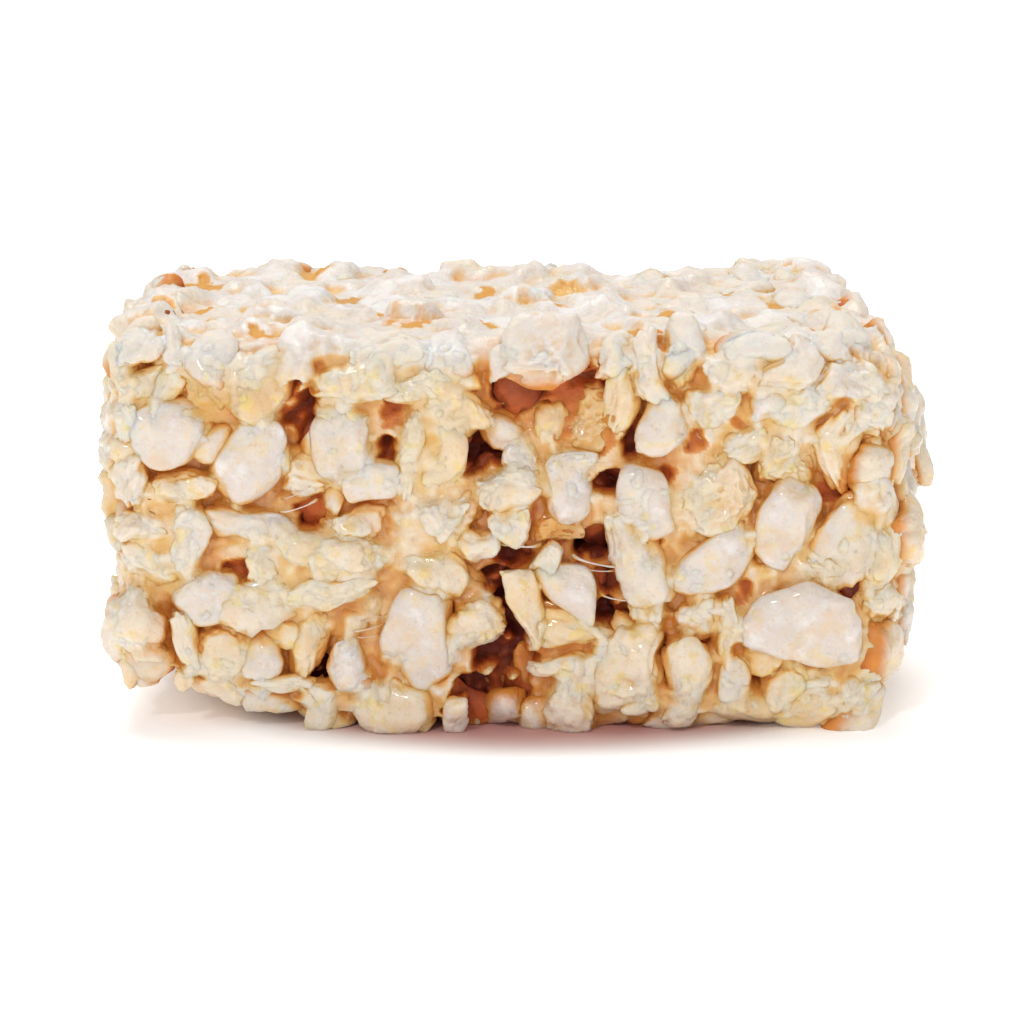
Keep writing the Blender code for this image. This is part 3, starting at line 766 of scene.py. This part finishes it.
def coat_grid(steps, from_depth, to_depth, capped):
    """(box points, quads, cap triangles) of a closed grid over part of the plain box, front to back.

    The end that is capped lies inside the block. Its cap is a fan from one more point, the last, to the
    rim, whose edges are those that only one quad has.
    """
    low = np.array([LEFT_END, from_depth, -PRESSED_AWAY])
    size = np.array([RIGHT_END, to_depth, HEIGHT]) - low
    cells = np.round(size / np.array(steps)).astype(int)
    keys, corners = [], []
    for axis in range(3):
        first, second = (axis + 1) % 3, (axis + 2) % 3
        for end in (0, cells[axis]):
            if axis == 1 and (end == 0) == (capped == "front"):
                continue
            lattice = np.zeros((cells[first] + 1, cells[second] + 1, 3), int)
            lattice[..., axis] = end
            lattice[..., first] = np.arange(cells[first] + 1)[:, None]
            lattice[..., second] = np.arange(cells[second] + 1)[None, :]
            key = (lattice[..., 0] * 4096 + lattice[..., 1]) * 4096 + lattice[..., 2]
            quads = np.stack([key[:-1, :-1], key[1:, :-1], key[1:, 1:], key[:-1, 1:]], axis=-1)
            quads = quads.reshape(-1, 4)
            keys.append(key.ravel())
            corners.append(quads if end else quads[:, ::-1])
    unique = np.unique(np.concatenate(keys))
    lattice = np.stack([unique // 4096**2, unique // 4096 % 4096, unique % 4096], axis=1)
    quads = np.searchsorted(unique, np.concatenate(corners))
    edges = np.concatenate([quads[:, [turn, (turn + 1) % 4]] for turn in range(4)])
    code = edges[:, 0] * len(unique) + edges[:, 1]
    backward = edges[:, 1] * len(unique) + edges[:, 0]
    rim = edges[~np.isin(backward, code)]
    fan = np.stack([rim[:, 1], rim[:, 0], np.full(len(rim), len(unique))], axis=1)
    return low + lattice / cells * size, quads, fan


def waves_at(points, seed, lengths, heights):
    """Sum of sine waves through space: for each length and height, three waves in random directions."""
    draw = np.random.default_rng(seed)
    total = np.zeros(len(points))
    for length, height in zip(np.repeat(lengths, 3), np.repeat(heights, 3) * 0.6):
        way = random_directions(draw, 1)[0]
        total += height * np.sin(points @ way * (2.0 * np.pi / length) + draw.uniform(0.0, 2.0 * np.pi))
    return total


def stray(points):
    """How far everything near a point is pushed about: sine waves through space for each direction."""
    moves = [waves_at(points, 211 + way, (6.0, 3.8, 2.6), (0.26, 0.16, 0.07)) for way in range(3)]
    return np.stack(moves, axis=1)


class Volume:
    """How full of grain each cell of the block is, softened over the neighbours, in cells of 0.36 mm.

    A grain fills the cells that its surface falls in, and those that smaller copies of it inside fall in.
    Softening gives each cell half of itself and a quarter of each neighbour, along each axis in turn. The
    grains' tones are softened with them, so that a place has the tone of the grain it lies by.
    """

    CELL = 0.36
    LOW = np.array([LEFT_END, -DEPTH / 2, -PRESSED_AWAY]) - 3.0
    CELLS = (236, 158, 130)
    SHELLS = (1.0, 0.92, 0.82, 0.7, 0.55, 0.35, 0.12)

    def __init__(self, shapes):
        full = np.zeros(self.CELLS)
        toned = np.zeros(self.CELLS)
        for centre, points, tone in shapes:
            for share in self.SHELLS:
                inner = (centre[:, None] + share * (points - centre[:, None])).reshape(-1, 3)
                cells = self.cell(inner)
                full[cells] = 1.0
                toned[cells] = np.repeat(tone, points.shape[1])
        self.grains = full
        self.full = self.soften(full, 1)
        self.tone = self.soften(toned, 3) / np.maximum(self.soften(full, 3), 1e-3)

    def soften(self, cells, passes):
        for _ in range(passes):
            for axis in range(3):
                cells = 0.5 * cells + 0.25 * (np.roll(cells, 1, axis) + np.roll(cells, -1, axis))
        return cells

    def cell(self, points):
        """The number of the cell that each point lies in, along each axis."""
        place = np.floor((points - self.LOW) / self.CELL).astype(int)
        return tuple(np.clip(place, 0, np.array(self.CELLS) - 1).T)

    def at(self, points, cells=None, coarser=1):
        """Fullness between the eight nearest cell middles, by how near each is."""
        cells = self.full if cells is None else cells
        place = (points - self.LOW) / (self.CELL * coarser) - 0.5
        place = np.clip(place, 0.0, np.array(cells.shape) - 2.001)
        i, j, k = np.floor(place).astype(int).T
        u, v, w = (place - np.floor(place)).T
        total = np.zeros(len(points))
        for di, share_i in ((0, 1.0 - u), (1, u)):
            for dj, share_j in ((0, 1.0 - v), (1, v)):
                for dk, share_k in ((0, 1.0 - w), (1, w)):
                    total += share_i * share_j * share_k * cells[i + di, j + dj, k + dk]
        return total

    def settle(self, coats):
        """Fills the cells under the coat too, and softens the whole over about 0.7 mm and 1.5 mm."""
        solid = self.grains.copy()
        for coat in coats:
            for sunk in np.arange(0.15, 5.0, 0.3):
                solid[self.cell(coat.skin + coat.normal * (coat.height - sunk)[:, None])] = 1.0
        a, b, c = solid.shape
        halved = solid.reshape(a // 2, 2, b // 2, 2, c // 2, 2).mean(axis=(1, 3, 5))
        self.near = self.soften(halved, 2)
        self.wide = self.soften(self.near, 8)

    def occlusion_at(self, points, normals):
        """How hemmed in a point is by the solid round it: 0 on a face, below 0 on a ridge, 1 deep in."""
        near = self.at(points + 0.7 * normals, self.near, 2) - 0.17
        wide = self.at(points + 1.7 * normals, self.wide, 2) - 0.17
        return 0.9 * near + 1.0 * wide

    def met(self, skin, normal, level, top=0.9, step=0.15, steps=56):
        """Height over the skin at which a line coming in along the normal first finds that fullness."""
        height = np.full(len(skin), top - step * steps)
        waiting = np.arange(len(skin))
        before = np.zeros(len(skin))
        for turn in range(steps):
            reached = top - step * turn
            now = self.at(skin[waiting] + normal[waiting] * reached)
            found = now >= level[waiting]
            rise = np.maximum(now[found] - before[found], 1e-6)
            share = np.clip((level[waiting[found]] - before[found]) / rise, 0.0, 1.0)
            height[waiting[found]] = reached + step * (1.0 - share)
            waiting, before = waiting[~found], now[~found]
        return height


def evened(height, quads, passes):
    """Each height averaged with its neighbours along the edges, half and half, a few times over."""
    ends = np.concatenate([quads[:, [turn, (turn + 1) % 4]] for turn in range(4)])
    count = np.bincount(ends[:, 0], minlength=len(height))
    for _ in range(passes):
        total = np.bincount(ends[:, 0], weights=height[ends[:, 1]], minlength=len(height))
        height = 0.5 * height + 0.5 * total / np.maximum(count, 1)
    return height


def tube_points(start, end, behind, width):
    """A strand: a circle carried along a sagging line, with a radius that flares to its closed ends."""
    run = np.linspace(0.0, 1.0, STRAND_RINGS)
    ends = front_spots(*np.array([start, end]).T)
    skin, _ = front_skin(ends)
    skin[:, 0], skin[:, 2] = ends[:, 0], ends[:, 2]
    skin[:, 1] += behind
    path = skin[0] + run[:, None] * (skin[1] - skin[0])
    path[:, 2] -= 4.0 * STRAND_SAG * run * (1.0 - run)
    path[:, 1] += 1.2 * np.abs(2.0 * run - 1.0) ** 3
    radius = 0.5 * width * (1.0 + 2.5 * np.abs(2.0 * run - 1.0) ** 3)
    along = unit(skin[1] - skin[0])
    side = unit(np.cross(along, [0.0, 1.0, 0.0]))
    other = np.cross(along, side)
    turn = 2.0 * np.pi * np.arange(STRAND_SIDES) / STRAND_SIDES
    circle = np.cos(turn)[:, None] * side + np.sin(turn)[:, None] * other
    rings_points = path[:, None] + radius[:, None, None] * circle[None]
    return np.concatenate([path[:1] - along * 0.3, rings_points.reshape(-1, 3), path[-1:] + along * 0.3])


# Meshes


def mesh_piece(name, points, quads, triangles, marks, volume, material):
    """One finished piece: points in mm become a mesh over the origin, with numbers for each mark."""
    places = points
    points = (points - BOX_MIDDLE) * MM
    points[:, 2] = np.maximum(points[:, 2], 0.0)
    mesh = bpy.data.meshes.new(name)
    corners = np.concatenate([quads.ravel(), triangles.ravel()]).astype(np.int32)
    sizes = np.concatenate([np.full(len(quads), 4), np.full(len(triangles), 3)])
    starts = np.concatenate([[0], np.cumsum(sizes)[:-1]]).astype(np.int32)
    mesh.vertices.add(len(points))
    mesh.vertices.foreach_set("co", points.astype(np.float32).ravel())
    mesh.loops.add(len(corners))
    mesh.loops.foreach_set("vertex_index", corners)
    mesh.polygons.add(len(sizes))
    mesh.polygons.foreach_set("loop_start", starts)
    mesh.update(calc_edges=True)
    mesh.validate()
    normals = np.empty(3 * len(points), np.float32)
    mesh.vertex_normals.foreach_get("vector", normals)
    # The occlusion number: the paint turns it into painted shade in creases and painted highlights on
    # ridges.
    marks = {**marks, "crowd": volume.occlusion_at(places, normals.reshape(-1, 3).astype(float))}
    for mark, numbers in marks.items():
        layer = mesh.attributes.new(mark, "FLOAT", "POINT")
        layer.data.foreach_set("value", numbers.astype(np.float32).ravel())
    mesh.shade_smooth()
    mesh.materials.append(material)
    piece = bpy.data.objects.new(name, mesh)
    bpy.context.scene.collection.objects.link(piece)
    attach(piece, "root")
    return piece


def grids_piece(name, points, along, around, marks, volume, material):
    """Many closed grids of the same rings as one piece, from points in rows of one grid each."""
    count, each = points.shape[:2]
    quads, triangles = grid_faces(along, around)
    offset = np.arange(count)[:, None, None] * each
    quads, triangles = (quads + offset).reshape(-1, 4), (triangles + offset).reshape(-1, 3)
    return mesh_piece(name, points.reshape(-1, 3), quads, triangles, marks, volume, material)


def grain_piece(name, grains, along, around, seed, relief, volume, material, hollows):
    """All grains of a group but the wrapped ones as one piece, with painted shade: marked darker below their
    surroundings and darker still in the hollows given.
    """
    points, inside = grain_points(grains, along, around, seed)
    bare = grains["kind"] != WRAPPED
    points, inside, grains = points[bare], inside[bare], pick(grains, bare)
    # Painted shade: the depth below the surroundings, raised in the hollows given, turns amber to brown in
    # the paint.
    shaded = 0.4 * smooth_step(hollow_depth(points.reshape(-1, 3), hollows, 0.4) / 4.0)
    marks = {
        "tone": np.repeat(grains["tone"], points.shape[1]),
        "inside": inside.ravel(),
        "depth": grain_depth(points, grains, relief).ravel() + shaded,
    }
    return grids_piece(name, points, along, around, marks, volume, material)


class Coat:
    """Half of the marshmallow coat: a closed surface that clings to the grains and dips between them.

    Its height over the skin is where a line coming in meets grains, at a fullness that broad waves set.
    It is held over a floor by 0.2 ln(e^(height / 0.2) + e^(-floor / 0.2)), puffed by the bare size of finer
    waves, brought down to the floors of the hollows, evened, and rippled by the finest waves.
    """

    BARE_LEVEL = 0.93
    FILLED_DROP = 0.21
    TOP_LEVEL = 0.84
    HIGHEST = 0.6
    FOLD_LENGTHS = (14.0, 10.0, 7.5)
    FOLD_HEIGHTS = (0.35, 0.35, 0.25)
    PUFF_LENGTHS = (3.0, 1.9, 1.3)
    PUFF_HEIGHTS = (0.22, 0.22, 0.18)
    RAGGED_LENGTHS = (3.0, 2.0, 1.3)
    RAGGED_HEIGHTS = (0.36, 0.32, 0.24)
    FLOOR_LENGTHS = (3.2, 2.1, 1.4)
    FLOOR_HEIGHTS = (0.55, 0.45, 0.30)
    RIPPLE_LENGTHS = (2.0, 1.4, 1.0)
    RIPPLE_HEIGHTS = (0.035, 0.03, 0.025)

    def __init__(self, volume, hollows, grid):
        spots, self.quads, self.fan = grid
        self.middle = np.array([0.0, 0.0, HEIGHT / 2])
        place, self.normal = rounded(spots)
        self.skin = settled(place, self.normal)
        flatness = np.abs(self.normal).max(axis=1)
        on_top = smooth_step((self.normal[:, 2] - 0.5) / 0.35)
        filled = waves_at(self.skin, 107, self.FOLD_LENGTHS, self.FOLD_HEIGHTS)
        filled += 0.35 * smooth_step((self.skin[:, 0] - 8.0) / 10.0) + 0.1
        under = smooth_step((-self.normal[:, 2] - 0.1) / 0.4)
        level = self.BARE_LEVEL - self.FILLED_DROP * smooth_step((filled + 0.15) / 0.3)
        level = level * (1.0 - on_top) + self.TOP_LEVEL * on_top + 0.3 * under
        floor = np.clip(1.9 - 1.4 * filled, 1.1, 2.8) * (1.0 - on_top) + 1.3 * on_top + 2.5 * under
        height = volume.met(self.skin, self.normal, np.minimum(level, self.BARE_LEVEL))
        found = self.skin + self.normal * (height - 0.4)[:, None]
        # The tone follows the grains near by and the broad waves, and is paler on the top as painted light
        # from above.
        self.tone = 0.7 * volume.tone[volume.cell(found)] + 0.05 + 0.2 * filled - 0.25 * on_top
        height = 0.2 * np.logaddexp(height / 0.2, -floor / 0.2)
        puffs = np.abs(waves_at(self.skin, 109, self.PUFF_LENGTHS, self.PUFF_HEIGHTS))
        height += (np.minimum(puffs, 0.6) - 0.2) * (0.75 - 0.25 * on_top)
        ragged = waves_at(self.skin, 110, self.RAGGED_LENGTHS, self.RAGGED_HEIGHTS)
        bowls = hollow_depth(self.skin, hollows, 0.15, ragged) * smooth_step((flatness - 0.8) / 0.2)
        rough = np.abs(waves_at(self.skin, 113, self.FLOOR_LENGTHS, self.FLOOR_HEIGHTS))
        rough = rough * smooth_step(bowls / 1.5)
        height = np.where(bowls > 0.05, np.minimum(height, rough - bowls), height)
        height = evened(height, self.quads, 1)
        height += waves_at(self.skin, 108, self.RIPPLE_LENGTHS, self.RIPPLE_HEIGHTS)
        self.height = np.minimum(height, self.HIGHEST)
        # Painted shade: off the top, the hollows are marked deeper, so the paint darkens them.
        self.pit_shade = 0.36 * smooth_step(bowls / 2.0) * (1.0 - on_top)
        halo = hollow_depth(self.skin, hollows, 0.8, 1.6 * ragged)
        self.amber = (0.45 * smooth_step(halo / 1.4) + 0.55 * smooth_step(bowls / 1.2)) * on_top

    def piece(self, name, relief, volume, material, lowered):
        """The half as a piece. Lowered sinks the rim that lies under the other half."""
        points = self.skin + self.normal * (self.height - lowered)[:, None]
        # Painted shade: the depth below the surroundings, raised in the front hollows, turns amber to brown
        # in the paint.
        depth = relief.below(self.skin, self.height) + self.pit_shade
        marks = {"tone": self.tone, "inside": self.amber, "depth": depth}
        marks = {key: np.append(value, 0.0) for key, value in marks.items()}
        points = np.concatenate([points, [self.middle]])
        return mesh_piece(name, points, self.quads, self.fan, marks, volume, material)


def strand_piece(name, strands, volume, material):
    """The pulled strands, each a thin closed tube, as one piece."""
    points = np.stack([tube_points(mark[:2], mark[2:4], *mark[4:]) for mark in strands])
    every = np.ones(points.shape[0] * points.shape[1])
    marks = {"tone": 0.05 * every, "inside": 0.0 * every, "depth": 0.05 * every}
    return grids_piece(name, points, STRAND_RINGS + 1, STRAND_SIDES, marks, volume, material)


# Materials


class Reading:
    """A value in a material. The operators on it add Math nodes, so a mask is written as an expression."""

    def __init__(self, paint, socket):
        self.paint = paint
        self.socket = socket

    def _math(self, operation, first, second):
        return self.paint.add("ShaderNodeMath", {"operation": operation}, {0: first, 1: second})

    def __add__(self, other):
        return self._math("ADD", self, other)

    __radd__ = __add__

    def __sub__(self, other):
        return self._math("SUBTRACT", self, other)

    def __rsub__(self, other):
        return self._math("SUBTRACT", other, self)

    def __mul__(self, other):
        return self._math("MULTIPLY", self, other)

    __rmul__ = __mul__


class Paint:
    """A Principled material whose pattern is expressions on the piece's own coordinates, in mm."""

    def __init__(self, name, constants):
        self.material = bpy.data.materials.new(name)
        self.material.use_nodes = True
        self.tree = self.material.node_tree
        self.shader = self.tree.nodes["Principled BSDF"]
        for socket, value in constants.items():
            self.shader.inputs[socket].default_value = value
        place = self.add("ShaderNodeTexCoord", {}, {}, "Object")
        self.place = self.add("ShaderNodeVectorMath", {"operation": "SCALE"}, {0: place, "Scale": 1000.0})

    def add(self, kind, settings, inputs, output=0):
        """A node of that type: its settings, then its sockets, as values or links. One output is read."""
        node = self.tree.nodes.new(kind)
        for setting, value in settings.items():
            if setting == "stops":
                self._set_stops(node.color_ramp, value)
            else:
                setattr(node, setting, value)
        for socket, value in inputs.items():
            if isinstance(value, Reading):
                self.tree.links.new(value.socket, node.inputs[socket])
            else:
                node.inputs[socket].default_value = value
        return Reading(self, node.outputs[output])

    def _set_stops(self, ramp, stops):
        while len(ramp.elements) < len(stops):
            ramp.elements.new(1.0)
        for element, (position, colour) in zip(ramp.elements, stops):
            element.position = position
            element.color = (*colour, 1.0)

    def mark(self, name):
        return self.add("ShaderNodeAttribute", {"attribute_name": name}, {}, "Fac")

    def noise(self, size, detail):
        """Soft noise whose features are about a size in mm across, from 0 to 1."""
        inputs = {"Vector": self.place, "Scale": 1.0 / size, "Detail": detail, "Roughness": 0.55}
        return self.add("ShaderNodeTexNoise", {}, inputs)

    def cells(self, size):
        """Distance to the nearest of points scattered about a size in mm apart."""
        return self.add("ShaderNodeTexVoronoi", {}, {"Vector": self.place, "Scale": 1.0 / size})

    def between(self, value, low, high):
        """0 where the value is low and 1 where it is high, smoothly."""
        settings = {"interpolation_type": "SMOOTHSTEP"}
        return self.add("ShaderNodeMapRange", settings, {0: value, 1: low, 2: high, 3: 0.0, 4: 1.0})

    def ramp(self, value, stops):
        return self.add("ShaderNodeValToRGB", {"stops": stops}, {0: value})

    def mix(self, share, first, second):
        """Mix of two colours by a share."""
        first = first if isinstance(first, Reading) else (*first, 1.0)
        second = second if isinstance(second, Reading) else (*second, 1.0)
        settings = {"data_type": "RGBA"}
        return self.add("ShaderNodeMix", settings, {0: share, 6: first, 7: second}, 2)

    def bump(self, height, distance, strength, under=None):
        inputs = {"Height": height, "Distance": distance * MM, "Strength": strength}
        if under is not None:
            inputs["Normal"] = under
        return self.add("ShaderNodeBump", {}, inputs)

    def show(self, socket, value):
        self.tree.links.new(value.socket, self.shader.inputs[socket])


# Colours of rice and marshmallow from pale to brown. The ochre, amber, red-brown and dark brown are painted
# shade in creases and below the surroundings
PALE = (0.84, 0.80, 0.765)
LIT_TOP_CREAM = (0.735, 0.675, 0.61)
ROSY = (0.68, 0.60, 0.54)
CREAM = (0.75, 0.655, 0.535)
HONEY = (0.78, 0.56, 0.17)
STRAW = (0.77, 0.60, 0.395)
CLEAR = (0.71, 0.48, 0.25)
GOLD = (0.66, 0.39, 0.155)
PITTED = (0.72, 0.43, 0.13)
SHADE_OCHRE = (0.77, 0.45, 0.12)
SHADE_AMBER = (0.64, 0.24, 0.04)
TOP_AMBER = (0.64, 0.27, 0.01)
SHADE_RED_BROWN = (0.50, 0.11, 0.02)
SHADE_BROWN = (0.16, 0.02, 0.006)
TONES = ((0.0, PALE), (0.15, ROSY), (0.34, CREAM), (0.66, STRAW), (1.0, GOLD))

# The heights between which the block's top is painted paler and with less painted shade, as painted light
# from above
LIT_TOP_FROM = 32.6
LIT_TOP_TO = 35.6

# How light spreads under the skin, red furthest
BLEEDING = {
    "Subsurface Weight": 0.4,
    "Subsurface Radius": (1.0, 0.52, 0.24),
    "Subsurface Scale": 1.9 * MM,
}


def rice_paint(name, most_roughness, fine_depth):
    """Rice and marshmallow: coloured by tone on the skin, amber in pits, with painted shade in ochre and
    amber in creases and in amber, red-brown and dark brown further down, and painted highlights pale on
    ridges.

    Layers of colour lie over each other, each by a share. The top is painted paler as painted light from
    above: it has less of the layers that darken it and less painted shade, and its pits are the clearest
    amber.
    """
    paint = Paint(name, {"IOR": 1.46, "Coat Roughness": 0.09, **BLEEDING})
    depth, inside, crowd = paint.mark("depth"), paint.mark("inside"), paint.mark("crowd")
    # Painted light: towards the top the colour is paler and has less painted shade, as light from above
    # falls there.
    height = paint.add("ShaderNodeSeparateXYZ", {}, {0: paint.place}, 2)
    lit_top = paint.between(height, LIT_TOP_FROM, LIT_TOP_TO)
    mottled = paint.noise(2.6, 4.0)
    uneven = mottled - 0.5
    tone = paint.mark("tone") * 0.85 + 0.14 + uneven * 0.6 - lit_top * 0.04
    patches = paint.between(paint.noise(1.7, 3.0), 0.52, 0.68) * paint.between(tone, -0.1, 0.5)
    clear = paint.between(paint.noise(2.9, 4.0), 0.50, 0.68)
    specks = paint.between(paint.noise(0.45, 2.0), 0.58, 0.72)
    # Painted highlight: ridges, where little solid is round about, turn pale.
    ridge_highlight = (1.0 - paint.between(crowd, -0.31, -0.13)) * (1.0 - paint.between(depth, 0.2, 0.5))
    opened = paint.between(inside + uneven * 0.4 * lit_top, 0.05, 0.85)
    # Painted shade: creases, where much solid is round about, turn ochre and amber; the depth below the
    # surroundings turns amber, red-brown and dark brown.
    creased = crowd + uneven * 0.2 - lit_top * 0.11
    deeper = depth + uneven * 0.12
    layers = (
        (patches * (0.7 - lit_top * 0.4), HONEY),
        (clear * (0.4 - lit_top * 0.25), CLEAR),
        (specks * (0.35 - lit_top * 0.2), GOLD),
        (ridge_highlight * (0.75 - lit_top * 0.45), PALE),
        (lit_top * 0.4, LIT_TOP_CREAM),
        (opened * 0.85, PITTED),
        (opened * opened * lit_top * 0.85, TOP_AMBER),
        (paint.between(creased, 0.08, 0.40) * 0.85, SHADE_OCHRE),
        (paint.between(creased, 0.34, 0.75) * 0.9, SHADE_AMBER),
        (paint.between(deeper, 0.18, 0.46), SHADE_AMBER),
        (paint.between(deeper, 0.48, 0.8), SHADE_RED_BROWN),
        (paint.between(deeper, 0.84, 1.15), SHADE_BROWN),
    )
    colour = paint.ramp(tone, TONES)
    for share, over in layers:
        colour = paint.mix(share, colour, over)
    paint.show("Base Color", colour)

    sticky = paint.between(paint.noise(3.4, 2.0), 0.38, 0.62)
    sunken = paint.between(depth, 0.3, 0.7)
    paint.show("Roughness", most_roughness - sticky * 0.14 + sunken * 0.25 + lit_top * 0.15)
    paint.show("Coat Weight", sticky * (1.0 - sunken) * (1.0 - lit_top * 0.7) * 0.65)
    fine = paint.bump(paint.noise(0.6, 2.0), fine_depth, 0.7)
    wrinkled = paint.bump(paint.noise(1.6, 3.0), 0.45, 0.8, fine)
    bubbles = paint.between(paint.cells(0.8), 0.10, 0.40)
    paint.show("Normal", paint.bump(bubbles, 0.06, 0.5, wrinkled))
    return paint.material


# Studio


WHITE = (1.0, 1.0, 1.0)
BLACK = (0.0, 0.0, 0.0)
FLOOR_PALE = (0.94, 0.94, 0.945)
# The colour of the floor's painted shadow round the block
FLOOR_PAINTED_SHADOW = (0.66, 0.38, 0.35)
FLOOR_HALF_M = 6.0


def make_floor():
    """A wide pale floor: a square sheet under the block, with a warm painted shadow in an oval round it and
    a white glow further out, which is painted light that clears shadows away.
    """
    half = FLOOR_HALF_M
    corners = [(-half, -half, 0.0), (half, -half, 0.0), (half, half, 0.0), (-half, half, 0.0)]
    mesh = bpy.data.meshes.new("studio_floor")
    mesh.from_pydata(corners, [], [(0, 1, 2, 3)])
    constants = {"Roughness": 0.7, "Specular IOR Level": 0.2, "Emission Strength": 0.3}
    paint = Paint("studio_floor", constants)
    moved = paint.add("ShaderNodeVectorMath", {"operation": "ADD"}, {0: paint.place, 1: (-1.0, 4.0, 0.0)})
    along = paint.add("ShaderNodeVectorMath", {"operation": "MULTIPLY"}, {0: moved, 1: (1.25, 1.5, 0.0)})
    away = paint.add("ShaderNodeVectorMath", {"operation": "LENGTH"}, {0: along}, "Value")
    # Painted shadow: the floor is warm and darker in an oval under and before the block.
    paint.show("Base Color", paint.mix(paint.between(away, 30.0, 43.0), FLOOR_PAINTED_SHADOW, FLOOR_PALE))
    # Painted light: away from the block the floor glows white, which clears the lamps' shadows there.
    paint.show("Emission Color", paint.mix(paint.between(away, 35.0, 47.0), BLACK, WHITE))
    mesh.materials.append(paint.material)
    floor = bpy.data.objects.new("studio_floor", mesh)
    bpy.context.scene.collection.objects.link(floor)


def soft_light(name, place, spread_deg, strength, colour):
    """A broad far light that shines from a place towards the block, and evenly on all the floor."""
    lamp = bpy.data.lights.new(name, "SUN")
    lamp.angle = math.radians(spread_deg)
    lamp.energy = strength
    lamp.color = colour
    light = bpy.data.objects.new(name, lamp)
    light.location = place
    light.rotation_euler = (-Vector(place)).to_track_quat("-Z", "Y").to_euler()
    bpy.context.scene.collection.objects.link(light)


def make_studio():
    world = bpy.data.worlds.new("studio")
    bpy.context.scene.world = world
    world.use_nodes = True
    background = world.node_tree.nodes["Background"]
    background.inputs["Color"].default_value = (*WHITE, 1.0)
    background.inputs["Strength"].default_value = 0.54
    soft_light("over_and_behind", (-0.06, 0.22, 0.8), 32.0, 1.75, (0.965, 0.98, 1.0))
    soft_light("front_fill", (0.05, -0.9, 0.25), 40.0, 0.36, (0.96, 0.98, 1.0))
    soft_light("glint", (-0.3, -0.75, 0.65), 4.0, 0.6, WHITE)
    bpy.context.scene.view_settings.view_transform = "Standard"
    bpy.context.scene.view_settings.look = "None"


def make_camera():
    camera_data = bpy.data.cameras.new("photo_camera")
    camera_data.lens = LENS
    camera_data.sensor_width = SENSOR
    camera_data.clip_start = 0.01
    camera = bpy.data.objects.new("photo_camera", camera_data)
    elevation = math.radians(CAMERA_ELEVATION_DEG)
    aim = Vector((AIM_ACROSS, 0.0, AIM_HEIGHT)) - Vector(BOX_MIDDLE)
    back = Vector((0.0, -math.cos(elevation), math.sin(elevation)))
    camera.location = (aim + back * CAMERA_DISTANCE) * MM
    camera.rotation_euler = (-back).to_track_quat("-Z", "Y").to_euler()
    bpy.context.scene.collection.objects.link(camera)
    bpy.context.scene.camera = camera


# The treat


def make_treat():
    hollows = all_hollows()
    shown, filling, small, deep = lay_grains(hollows)
    in_front = shown["normal"][:, 1] < -0.6
    broken = in_front & (shown["kind"] == BROKEN)
    bubbly = in_front & (shown["kind"] == BUBBLY)
    groups = (
        ("front_smooth_grains", pick(shown, in_front & ~broken & ~bubbly), 28, 38, 101),
        ("front_broken_grains", pick(shown, broken), 60, 84, 102),
        ("front_bubbly_grains", pick(shown, bubbly), 40, 56, 103),
        ("other_grains", pick(shown, ~in_front), 16, 20, 104),
        ("filling_grains", filling, 12, 15, 105),
        ("small_grains", small, 9, 11, 107),
        ("deep_grains", deep, 10, 12, 106),
    )
    shapes = [
        (grains["centre"], grain_points(grains, *VOLUME_GRID, seed)[0], grains["tone"])
        for _, grains, _, _, seed in groups
    ]
    volume = Volume(shapes)
    front = Coat(volume, hollows, coat_grid(FRONT_COAT_STEPS, -DEPTH / 2, SEAM, "back"))
    back = Coat(volume, hollows, coat_grid(BACK_COAT_STEPS, 0.0, DEPTH / 2, "front"))
    skin = np.concatenate([front.skin, back.skin])
    height = np.concatenate([front.height, back.height])
    relief = Relief(skin, height)
    volume.settle((front, back))

    rice = rice_paint("puffed_rice", most_roughness=0.50, fine_depth=0.10)
    marshmallow = rice_paint("marshmallow", most_roughness=0.46, fine_depth=0.16)
    for name, grains, along, around, seed in groups:
        shading = hollows if name == "deep_grains" else hollows[:0]
        grain_piece(name, grains, along, around, seed, relief, volume, rice, shading)
    front_under = 0.5 * smooth_step((front.skin[:, 1] - 0.4 * SEAM) / (0.5 * SEAM))
    back_under = 0.5 * (1.0 - smooth_step(back.skin[:, 1] / (0.5 * SEAM)))
    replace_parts(front.piece("marshmallow_front", relief, volume, marshmallow, front_under), "crispy_treat")
    back.piece("marshmallow_back", relief, volume, marshmallow, back_under)
    strand_piece("marshmallow_strands", FRONT_STRANDS, volume, marshmallow)


make_camera()
make_treat()
make_floor()
make_studio()
